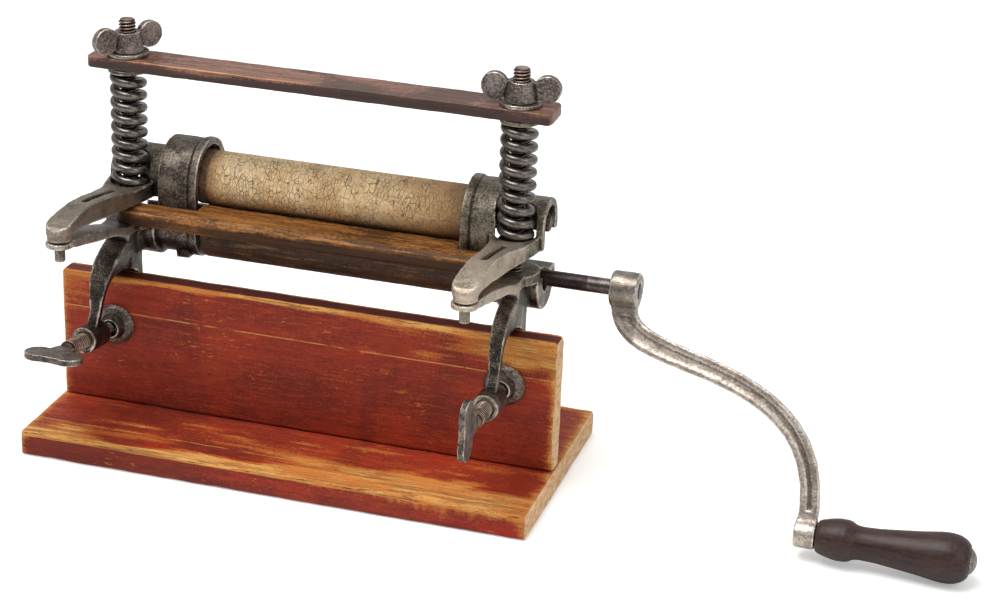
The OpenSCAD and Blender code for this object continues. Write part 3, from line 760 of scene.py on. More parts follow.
    def done(self, colour: Socket, roughness: Socket | float, height: Socket, depth: float,
             metallic: float = 0.0, gloss: float = 0.5) -> bpy.types.Material:
        """Connects the shader.

        Args:
            colour: Colour of the surface.
            roughness: Its roughness.
            height: Height map that tilts the surface.
            depth: Depth of the height map's full range, in millimetres.
            metallic: Share of metal.
            gloss: Strength of the shine where it isn't metal.

        Returns:
            The finished material.
        """
        bump = self.node("ShaderNodeBump")
        bump.inputs["Distance"].default_value = depth * MM
        self.feed(bump.inputs["Height"], height)
        self.feed(self.shader.inputs["Base Color"], colour)
        self.feed(self.shader.inputs["Roughness"], roughness)
        self.shader.inputs["Metallic"].default_value = metallic
        self.shader.inputs["Specular IOR Level"].default_value = gloss
        self.feed(self.shader.inputs["Normal"], bump.outputs[0])
        return self.material


@dataclass(frozen=True)
class Metal:
    """Iron or steel: mottled and pitted with painted glints, dark in its hollows, rubbed bright on
    its edges.

    The piece's field "edge" is positive on its edges and negative in its hollows, and its field
    "tone" is positive where it is rubbed pale and negative where it is dull.

    Attributes:
        name: Name of the material.
        slot: The record's material slot; not used.
        dark: Darkest colour of the mottling.
        light: Lightest colour of the mottling.
        bright: Colour of rubbed edges and of the painted glints.
        pale: Colour where the tone is full.
        dull: Colour where the tone is fully negative.
        grime: Colour in hollows and pits.
        rust: Colour of rust.
        rusting: Share of the surface that rust takes, from 0 to 1.
        rubbing: How far the rubbed edges spread, from 0 to 1.
        sparkle: Strength of the painted glints, from 0 to 1.
        rough: Middle roughness.
        pit: Size of the pits, in millimetres.
        relief: Depth of the cast grain, in millimetres.
        metallic: Share of metal in the shader.
    """

    name: str
    slot: str
    dark: Colour
    light: Colour
    bright: Colour
    pale: Colour = (0.44, 0.38, 0.315)
    dull: Colour = (0.022, 0.014, 0.012)
    grime: Colour = (0.016, 0.011, 0.009)
    rust: Colour = (0.085, 0.035, 0.016)
    rusting: float = 0.25
    rubbing: float = 0.5
    sparkle: float = 0.45
    rough: float = 0.4
    pit: float = 1.1
    relief: float = 0.16
    metallic: float = 0.85

    def make(self) -> bpy.types.Material:
        """Builds the material: mottling, then tone, rust, pits, painted glints and rubbed edges.

        Each step lays a colour over the last one where a noise or a field passes its threshold.

        Returns:
            The material.
        """
        r = Recipe(self.name)
        blots = r.noise(7, detail=5, rough=0.62)
        grain = r.noise(0.9, detail=6, rough=0.72)
        sand = r.noise(0.5, detail=4, rough=0.65)
        pits = r.step(r.cells(self.pit, Feature.SPOTS, r.warped(2.0, 1.2)), 0.02, 0.42)
        pitted = r.times(r.math("SUBTRACT", 1.0, pits), r.step(r.noise(3.2), 0.42, 0.6))
        shade = r.step(r.sum(r.times(blots, 0.4), r.times(grain, 0.6)), 0.42, 0.58)
        colour = r.mix(shade, self.dark, self.light)
        tone = r.sum(r.field("tone"), r.swing(grain, 1.1), r.swing(blots, 1.3))
        colour = r.coat(colour, r.step(tone, 0.2, 1.0), 0.85, self.pale)
        colour = r.coat(colour, r.step(tone, -0.15, -0.75), 0.8, self.dull)
        rusty = r.step(r.sum(r.noise(5.5, detail=6, rough=0.7), r.swing(grain, 0.2)),
                       0.74 - 0.34 * self.rusting, 0.86 - 0.3 * self.rusting)
        colour = r.coat(colour, rusty, 0.8, self.rust)
        colour = r.coat(colour, pitted, 0.75, self.grime)
        # Painted glints: bright specks in the colour where light would sparkle on the grain
        painted_glints = r.step(r.sum(sand, r.swing(blots, 0.35)), 0.56, 0.68)
        colour = r.coat(colour, painted_glints, self.sparkle, self.bright)
        edge = r.field("edge")
        hollow = r.step(r.sum(edge, r.swing(grain, 0.3)), -0.08, -0.45)
        colour = r.coat(colour, hollow, 0.85, self.grime)
        uneven = r.sum(edge, r.swing(grain, 0.9), r.swing(blots, 0.5))
        rubbed = r.step(uneven, 0.62 - 0.4 * self.rubbing, 0.95)
        patchy = r.span(r.step(r.noise(6, detail=4), 0.42, 0.6), 0.22, 0.9)
        colour = r.coat(colour, rubbed, patchy, self.bright)
        rough = r.sum(self.rough, r.swing(grain, 0.35), r.times(rusty, 0.2), r.times(rubbed, -0.12))
        height = r.sum(grain, sand, r.times(pitted, -0.9), r.times(r.noise(2.6), 1.2))
        return r.done(colour, rough, height, self.relief, self.metallic)


@dataclass(frozen=True)
class BoardGrain:
    """The noises that the paint and the bare wood of one board share.

    Attributes:
        along: Coordinates drawn out along X.
        streaks: Long streaks of the grain.
        hairs: Fine lines of the grain.
        flecks: Small specks.
        clouds: Large soft blots.
    """

    along: Socket
    streaks: Socket
    hairs: Socket
    flecks: Socket
    clouds: Socket


@dataclass(frozen=True)
class PaintedPine:
    """Red paint over yellow ochre on pine, worn through along the edges, with raw sawn ends.

    The piece's field "worn" says where the paint is gone, its field "shade" where it is darkened,
    which is painted shade on the upright's top face and darker paint towards the left of the base's
    front, and its field "sawn" marks the raw ends.

    Attributes:
        name: Name of the material.
        line_axis: Axis across which the scribed line is placed, 1 for Y and 2 for Z.
        line_at: Its place on that axis, in millimetres.
        line_slope: How much it rises along X.
        slot: The record's material slot; not used.
        red: Colour of most of the paint.
        maroon: Colour of darkened paint, and of the dark bands that paint soft shadows.
        scarlet: Colour of fresh paint.
        brick: Colour of thin paint.
        orange: Colour of the undercoat's rim round worn places.
        ochre: Colour of the undercoat.
        brown: Colour of soaked wood.
        soot: Colour of dirt in the grain.
        wine: Colour of the painted shade on the upright's top, and of the darker paint on the
            base's front.
        pine: Colour of raw pine.
        pine_dark: Colour of its late wood.
    """

    name: str
    line_axis: int
    line_at: float
    line_slope: float
    slot: str = "painted_pine"
    red: Colour = (0.33, 0.034, 0.014)
    maroon: Colour = (0.15, 0.019, 0.011)
    scarlet: Colour = (0.50, 0.022, 0.010)
    brick: Colour = (0.42, 0.075, 0.022)
    orange: Colour = (0.58, 0.17, 0.032)
    ochre: Colour = (0.78, 0.40, 0.11)
    brown: Colour = (0.36, 0.16, 0.045)
    soot: Colour = (0.045, 0.022, 0.012)
    wine: Colour = (0.065, 0.014, 0.013)
    pine: Colour = (0.82, 0.56, 0.33)
    pine_dark: Colour = (0.55, 0.31, 0.15)

    def paint(self, r: Recipe, grain: BoardGrain, worn: Socket) -> Socket:
        """Mixes the paint: mottled, streaked and scratched, with dark bands that paint soft
        shadows, darkened by the field "shade", and orange round the worn places.

        Args:
            r: The material's recipe.
            grain: The board's noises.
            worn: How far the paint is worn.

        Returns:
            The paint's colour.
        """
        hairs, flecks, clouds = grain.hairs, grain.flecks, grain.clouds
        tint = r.sum(r.times(clouds, 0.4), r.times(flecks, 0.35), r.times(grain.streaks, 0.25))
        paint = r.mix(r.step(tint, 0.4, 0.58), self.maroon, self.red)
        # Dark bands across X, stretched along Y and Z: painted soft shadows
        bands = r.noise(17, r.stretched((1, 0.1, 0.22), r.warped(40, 18)), detail=2)
        paint = r.coat(paint, r.step(bands, 0.56, 0.7), 0.5, self.maroon)
        thin = r.step(r.sum(hairs, r.swing(flecks, 0.5)), 0.5, 0.72)
        paint = r.coat(paint, thin, 0.6, self.brick)
        bright = r.step(r.sum(r.noise(13, grain.along), r.swing(flecks, 0.25)), 0.58, 0.68)
        paint = r.coat(paint, bright, 0.5, self.scarlet)
        dots = r.step(r.noise(0.7, r.stretched((0.4, 1, 1)), 3), 0.6, 0.74)
        paint = r.coat(paint, dots, 0.5, self.maroon)
        # The field "shade" paints shade on the upright's top face, and darkens the base's front
        # towards its left end
        shaded = r.sum(r.field("shade"), r.swing(flecks, 0.7), r.swing(clouds, 0.4))
        paint = r.coat(paint, r.step(shaded, 0.2, 0.7), 0.85, self.wine)
        fine = r.step(r.noise(0.8, r.stretched((0.16, 1, 1), r.warped(4, 3)), 3), 0.62, 0.68)
        scratch = r.times(fine, r.step(r.noise(15, r.stretched((0.6, 1, 1))), 0.5, 0.6))
        paint = r.coat(paint, scratch, 0.85, self.orange)
        return r.coat(paint, r.step(worn, 0.22, 0.55), 0.75, self.orange)

    def wood(self, r: Recipe, grain: BoardGrain, worn: Socket) -> Socket:
        """Mixes the bare wood: ochre left in its grain, and dirt where it is worn deepest.

        Args:
            r: The material's recipe.
            grain: The board's noises.
            worn: How far the paint is worn.

        Returns:
            The wood's colour.
        """
        deep = r.step(r.sum(worn, r.swing(grain.hairs, 0.5)), 0.85, 1.2)
        wood = r.mix(r.step(grain.streaks, 0.38, 0.62), self.brown, self.ochre)
        warm = r.step(r.sum(grain.clouds, r.swing(grain.flecks, 0.6)), 0.46, 0.58)
        wood = r.coat(wood, warm, 0.75, self.orange)
        dirty = r.sum(r.times(deep, 0.6), 0.25)
        return r.coat(wood, r.step(grain.hairs, 0.45, 0.36), dirty, self.soot)

    def sawn_end(self, r: Recipe, pores: Socket) -> Socket:
        """Mixes the raw sawn end: pine in curved year rings, with dark pores.

        Args:
            r: The material's recipe.
            pores: Fine noise of the pores.

        Returns:
            The end's colour.
        """
        rings = r.noise(1.5, r.stretched((1, 0.3, 1), r.warped(16, 5)), detail=5, rough=0.6)
        end = r.mix(r.step(rings, 0.3, 0.66), self.pine_dark, self.pine)
        end = r.coat(end, r.step(pores, 0.5, 0.36), 0.4, self.pine_dark)
        return r.coat(end, r.step(r.noise(14), 0.56, 0.74), 0.35, self.orange)

    def scribed_line(self, r: Recipe) -> Socket:
        """Marks the thin line scribed along the board, broken in places.

        Args:
            r: The material's recipe.

        Returns:
            How strongly the line shows.
        """
        place = r.parts(r.mm)
        level = r.sum(place[self.line_axis], r.times(place[0], -self.line_slope), -self.line_at,
                      r.swing(r.noise(40), 0.6))
        near = r.step(r.math("ABSOLUTE", level), 0.36, 0.12)
        return r.times(near, r.step(r.noise(12, detail=3), 0.38, 0.52))

    def make(self) -> bpy.types.Material:
        """Builds the material: paint, bare wood where it is worn, the line, specks and sawn ends.

        Returns:
            The material.
        """
        r = Recipe(self.name)
        along = r.stretched((0.05, 1, 1), r.warped(30, 3))
        streaks = r.noise(2.0, along, detail=6, rough=0.7)
        hairs = r.noise(0.5, r.stretched((0.05, 1, 1), r.warped(18, 2)), detail=4, rough=0.6)
        flecks = r.noise(0.9, detail=6, rough=0.78)
        clouds = r.noise(22, r.stretched((0.5, 1, 1)), detail=5, rough=0.6)
        grain = BoardGrain(along, streaks, hairs, flecks, clouds)
        worn = r.sum(r.field("worn"), r.swing(streaks, 0.95), r.swing(flecks, 0.8),
                     r.swing(clouds, 0.4))
        bare = r.step(worn, 0.5, 0.6)
        colour = r.mix(bare, self.paint(r, grain, worn), self.wood(r, grain, worn))
        line = self.scribed_line(r)
        colour = r.coat(colour, line, 0.6, self.ochre)
        specks = r.step(r.cells(4.2, Feature.SPOTS, r.warped(3, 2)), 0.11, 0.06)
        colour = r.coat(colour, specks, 0.7, self.soot)
        sawn = r.step(r.field("sawn"), 0.35, 0.65)
        pores = r.noise(0.35, detail=3)
        colour = r.mix(sawn, colour, self.sawn_end(r, pores))
        rough = r.sum(0.52, r.times(bare, 0.15), r.times(sawn, 0.3), r.swing(flecks, 0.25))
        height = r.sum(r.times(bare, -0.8), r.times(streaks, 0.7), r.times(hairs, 0.7),
                       r.times(line, -0.8), r.times(flecks, 0.5),
                       r.times(r.times(pores, sawn), 1.2), r.times(specks, -0.8))
        return r.done(colour, rough, height, 0.14, gloss=0.22)


@dataclass(frozen=True)
class BrownWood:
    """Old oiled hardwood with its grain along X, rubbed golden where hands and cloth pass.

    Attributes:
        name: Name of the material.
        slot: The record's material slot; not used.
        dark: Colour of the dark grain.
        light: Colour between the grain.
        golden: Colour of rubbed places, and of painted highlights.
        black: Colour of soaked and burnt places, and of painted shade.
        rubbing: How far the rubbed places spread, from 0 to 1.
        rough: Middle roughness.
        gloss: Strength of the shine.
    """

    name: str
    slot: str
    dark: Colour
    light: Colour
    golden: Colour
    black: Colour = (0.016, 0.010, 0.008)
    rubbing: float = 0.5
    rough: float = 0.42
    gloss: float = 0.5

    def make(self) -> bpy.types.Material:
        """Builds the material: grain first, then soaked places, rubbed gold with painted
        highlights, fine dark lines, and painted shade.

        Returns:
            The material.
        """
        r = Recipe(self.name)
        bent = r.warped(40, 3)
        streaks = r.noise(1.6, r.stretched((0.04, 1, 1), bent), detail=6, rough=0.66)
        hairs = r.noise(0.45, r.stretched((0.03, 1, 1), bent), detail=3)
        clouds = r.noise(20, r.stretched((0.6, 1, 1)), detail=4)
        flecks = r.noise(1.2, detail=5, rough=0.7)
        lines_of_grain = r.sum(r.times(streaks, 0.5), r.times(hairs, 0.25), r.times(flecks, 0.25))
        colour = r.mix(r.step(lines_of_grain, 0.4, 0.6), self.dark, self.light)
        # The field "rubbed" is positive where the wood is rubbed or gets a painted highlight, and
        # negative where shade is painted
        wear_and_painted_light = r.field("rubbed")
        soaked = r.step(r.sum(clouds, r.swing(flecks, 0.4), r.times(wear_and_painted_light, 0.3)), 0.5, 0.38)
        colour = r.coat(colour, soaked, 0.65, self.black)
        rubbed = r.sum(r.times(r.field("edge"), 0.7), wear_and_painted_light, r.swing(streaks, 0.9),
                       r.swing(flecks, 0.5), r.swing(clouds, 0.5))
        colour = r.mix(r.step(rubbed, 0.7 - 0.4 * self.rubbing, 1.05), colour, self.golden)
        lines = r.step(r.sum(hairs, r.swing(flecks, 0.3)), 0.42, 0.32)
        colour = r.coat(colour, lines, 0.65, self.black)
        # Painted shade where the field is negative
        colour = r.coat(colour, r.step(wear_and_painted_light, -0.1, -0.7), 0.75, self.black)
        rough = r.sum(self.rough, r.swing(streaks, 0.25), r.swing(flecks, 0.3))
        height = r.sum(r.times(streaks, 0.8), r.times(hairs, 0.6), r.times(flecks, 0.3))
        return r.done(colour, rough, height, 0.1, gloss=self.gloss)


@dataclass(frozen=True)
class CrackedRubber:
    """Old cream rubber, crazed with fine cracks and stained brown towards its ends.

    The piece's field "stain" is 1 where the staining is full, and on the lower side it also carries
    painted shade.

    Attributes:
        name: Name of the material.
        slot: The record's material slot; not used.
        cream: Colour of most of it.
        pale: Colour of its palest blots.
        tan: Colour of its darker blots.
        umber: Colour of light staining, and of the painted shade on the lower side.
        stain: Colour of full staining, and of the painted shade on the lower side.
        crack: Colour in the cracks.
    """

    name: str = "cream_rubber"
    slot: str = "cream_rubber"
    cream: Colour = (0.70, 0.49, 0.25)
    pale: Colour = (0.79, 0.61, 0.37)
    tan: Colour = (0.60, 0.38, 0.18)
    umber: Colour = (0.36, 0.19, 0.07)
    stain: Colour = (0.085, 0.04, 0.02)
    crack: Colour = (0.075, 0.036, 0.018)

    def make(self) -> bpy.types.Material:
        """Builds the material: soft blots first, then the staining with the painted shade, and
        cracks of two sizes.

        The cracks are the narrow edges between the cells of a bent cell pattern.

        Returns:
            The material.
        """
        r = Recipe(self.name)
        clouds = r.noise(16, detail=5)
        grain = r.noise(0.8, detail=6, rough=0.7)
        fibres = r.noise(1.4, r.stretched((0.6, 1, 1)), detail=4)
        colour = r.mix(r.step(clouds, 0.36, 0.56), self.tan, self.cream)
        lightest = r.step(r.sum(r.times(fibres, 0.5), r.times(clouds, 0.5)), 0.47, 0.6)
        colour = r.mix(lightest, colour, self.pale)
        # The field holds the stains of the ends and painted shade along the lower side
        stained = r.field("stain")
        spots = r.sum(grain, r.swing(r.noise(9), 0.3), r.times(stained, 0.25))
        colour = r.coat(colour, r.step(spots, 0.58, 0.7), 0.4, self.tan)
        full = r.sum(stained, r.swing(clouds, 0.4), r.swing(grain, 0.5))
        colour = r.coat(colour, r.step(full, 0.1, 0.55), 0.75, self.umber)
        colour = r.mix(r.step(full, 0.5, 1.05), colour, self.stain)
        bent = r.warped(2.6, 1.0, r.warped(0.9, 0.4))
        wide = r.cells(2.4, Feature.EDGES, r.stretched((1.5, 0.62, 0.62), bent))
        fine = r.cells(1.5, Feature.EDGES, r.stretched((1.15, 0.9, 0.9), bent))
        fading = r.noise(5, r.warped(5, 3), detail=3)
        cracks = r.times(r.step(wide, 0.042, 0.016), r.step(fading, 0.34, 0.5))
        hairs = r.times(r.step(fine, 0.06, 0.015), r.step(r.noise(6, r.warped(5, 3)), 0.4, 0.58))
        open_crack = r.math("MAXIMUM", cracks, r.times(hairs, 0.65))
        colour = r.coat(colour, open_crack, 0.9, self.crack)
        round_dots = r.step(r.cells(0.8, Feature.SPOTS, r.warped(2, 1)), 0.26, 0.14)
        dots = r.times(round_dots, r.step(full, 0.05, 0.4))
        colour = r.coat(colour, dots, 0.6, self.stain)
        colour = r.coat(colour, r.step(wide, 0.16, 0.03), 0.18, self.tan)
        rough = r.sum(0.56, r.swing(grain, 0.25))
        height = r.sum(r.times(open_crack, -1.0), r.times(grain, 0.35), r.times(clouds, 0.3))
        return r.done(colour, rough, height, 0.16, gloss=0.35)


@dataclass(frozen=True)
class DarkRubber:
    """Hardened dark brown rubber, dull and scuffed along its length.

    Attributes:
        name: Name of the material.
        slot: The record's material slot; not used.
        dark: Colour of its darkest blots, and in the cracks.
        brown: Colour of its lightest blots.
        scuff: Colour of the scuffs.
    """

    name: str = "brown_rubber"
    slot: str = "brown_rubber"
    dark: Colour = (0.035, 0.017, 0.010)
    brown: Colour = (0.10, 0.045, 0.022)
    scuff: Colour = (0.26, 0.125, 0.05)

    def make(self) -> bpy.types.Material:
        """Builds the material: dark blots first, then scuffs drawn out along X, and cracks.

        Returns:
            The material.
        """
        r = Recipe(self.name)
        clouds = r.noise(14, detail=5)
        grain = r.noise(0.7, detail=6, rough=0.7)
        drag = r.noise(1.3, r.stretched((0.08, 1, 1), r.warped(20, 2)), detail=5)
        blots = r.sum(r.times(clouds, 0.5), r.times(grain, 0.5))
        colour = r.mix(r.step(blots, 0.38, 0.62), self.dark, self.brown)
        scuffed = r.step(r.sum(drag, r.swing(grain, 0.4)), 0.52, 0.68)
        colour = r.coat(colour, scuffed, 0.8, self.scuff)
        cracks = r.step(r.cells(5.5, Feature.EDGES, r.warped(3, 2.4)), 0.035, 0.008)
        colour = r.coat(colour, cracks, 0.7, self.dark)
        rough = r.sum(0.6, r.swing(grain, 0.25))
        height = r.sum(grain, r.times(cracks, -0.9), r.times(drag, 0.5))
        return r.done(colour, rough, height, 0.1, gloss=0.35)


# A metal's first colours are dark, light and bright, and a wood's are dark, light and golden
IRON = {
    Side.LEFT: Metal(
        "iron_left", "iron", (0.055, 0.042, 0.032), (0.24, 0.20, 0.158), (0.62, 0.56, 0.48),
        pale=(0.30, 0.25, 0.20), rubbing=0.45, rusting=0.3, sparkle=0.45),
    Side.RIGHT: Metal(
        "iron_right", "iron", (0.065, 0.053, 0.038), (0.24, 0.205, 0.155), (0.66, 0.58, 0.48),
        pale=(0.62, 0.50, 0.385), rubbing=0.45, rusting=0.2, sparkle=0.45),
}
IRON_HOOK = Metal(
    "iron_hook", "iron", (0.05, 0.037, 0.032), (0.22, 0.18, 0.15), (0.6, 0.54, 0.47),
    pale=(0.36, 0.32, 0.27), rubbing=0.45, rusting=0.2, rough=0.34, sparkle=0.4)
NUT_IRON = Metal(
    "nut_iron", "iron", (0.085, 0.066, 0.06), (0.33, 0.275, 0.24), (0.66, 0.6, 0.53),
    rubbing=0.5, rusting=0.12, rough=0.34, sparkle=0.22)
BRIGHT_IRON = Metal(
    "bright_iron", "bright_iron", (0.34, 0.28, 0.235), (0.68, 0.60, 0.52), (0.88, 0.81, 0.72),
    dull=(0.17, 0.145, 0.12), grime=(0.13, 0.10, 0.08), rubbing=0.5, rusting=0.03, rough=0.36,
    relief=0.06, sparkle=0.25)
SPRING_STEEL = Metal(
    "spring_steel", "steel", (0.12, 0.105, 0.092), (0.22, 0.20, 0.182), (0.5, 0.46, 0.42),
    rubbing=0.1, rusting=0.1, rough=0.24, relief=0.02, pit=0.7, sparkle=0.06)
PLAIN_STEEL = Metal(
    "plain_steel", "steel", (0.13, 0.11, 0.095), (0.34, 0.30, 0.26), (0.6, 0.55, 0.49),
    rusting=0.2, rough=0.33, relief=0.06, pit=0.8)
RUSTY_STEEL = Metal(
    "rusty_steel", "rusty_steel", (0.04, 0.022, 0.017), (0.15, 0.09, 0.065), (0.55, 0.43, 0.35),
    grime=(0.006, 0.003, 0.003), rust=(0.13, 0.045, 0.018), rusting=0.6, rubbing=0.55,
    rough=0.42, relief=0.04, pit=0.6, sparkle=0.15)
DARK_SHAFT = Metal(
    "dark_shaft", "rusty_steel", (0.03, 0.021, 0.021), (0.075, 0.055, 0.053), (0.25, 0.22, 0.20),
    rust=(0.05, 0.024, 0.018), rusting=0.3, rubbing=0.4, rough=0.4, relief=0.03, pit=0.8,
    sparkle=0.05)
GUIDE_WOOD = BrownWood(
    "guide_wood", "brown_wood", (0.075, 0.027, 0.008), (0.40, 0.165, 0.04), (0.80, 0.42, 0.12),
    black=(0.028, 0.012, 0.006), rubbing=0.45, rough=0.5, gloss=0.2)
BAR_WOOD = BrownWood(
    "bar_wood", "brown_wood", (0.08, 0.032, 0.021), (0.30, 0.14, 0.088), (0.50, 0.25, 0.11),
    black=(0.026, 0.011, 0.009), rubbing=0.3, rough=0.4, gloss=0.42)
GRIP_WOOD = BrownWood(
    "grip_wood", "grip_wood", (0.018, 0.009, 0.009), (0.062, 0.026, 0.02), (0.17, 0.06, 0.035),
    rubbing=0.2, rough=0.42, gloss=0.4)
BASE_PINE = PaintedPine("base_pine", 1, -34.6, -0.008)
UPRIGHT_PINE = PaintedPine("upright_pine", 2, 47.05, -0.0058)

Finish = Metal | PaintedPine | BrownWood | CrackedRubber | DarkRubber


@dataclass
class Workshop:
    """Hands out the frame's nodes and fits finished pieces to it.

    Attributes:
        nodes: The frame's objects by name.
        joints: The frame's joints by name.
        body_of: The body that each node rides on.
        made: Materials by name.
    """

    nodes: dict[str, bpy.types.Object]
    joints: dict[str, dict]
    body_of: dict[str, str]
    made: dict[str, bpy.types.Material] = field(default_factory=dict)

    def paint(self, piece: bpy.types.Object, finish: Finish) -> None:
        """Gives a piece its finish.

        Args:
            piece: The piece.
            finish: Its finish, whose material is made at its first use.
        """
        if finish.name not in self.made:
            self.made[finish.name] = finish.make()
        piece.data.materials.clear()
        piece.data.materials.append(self.made[finish.name])

    def fit(self, piece: bpy.types.Object, finish: Finish, *nodes: str) -> None:
        """Paints a piece, lets it stand for nodes and ride on their body, and reports it.

        Args:
            piece: The piece.
            finish: Its finish.
            nodes: The nodes that it stands for.
        """
        self.paint(piece, finish)
        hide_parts(*nodes)
        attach(piece, self.body_of[nodes[0]])
        faces = len(piece.data.polygons)
        log.info("%s stands for %s: %d faces", piece.name, ", ".join(nodes), faces)

    def fit_copy(self, node: str, finish: Finish, how: Rounding,
                 reshape: Callable[[Array], Array] | None = None) -> bpy.types.Object:
        """Fits a rounded copy of a node in its place.

        Args:
            node: Name of the node.
            finish: The copy's finish.
            how: Size and strength of the rounding.
            reshape: Moves the points before they are smoothed.

        Returns:
            The copy.
        """
        piece = rounded_copy(node + "_worn", self.nodes[node], how, reshape)
        self.fit(piece, finish, node)
        return piece

    def corners(self, node: str) -> tuple[Array, Array]:
        """Gives a node's lowest and highest corners, in metres."""
        low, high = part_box(node)
        return np.array(low), np.array(high)

    def barrel(self, node: str) -> tuple[Array, float, float]:
        """Measures a round node that lies along X.

        Args:
            node: Name of the node.

        Returns:
            The left end of its axis, its length and its radius, in metres.
        """
        low, high = self.corners(node)
        foot = np.array([low[0], (low[1] + high[1]) / 2, (low[2] + high[2]) / 2])
        return foot, high[0] - low[0], (high[2] - low[2]) / 2


# Sub-assemblies


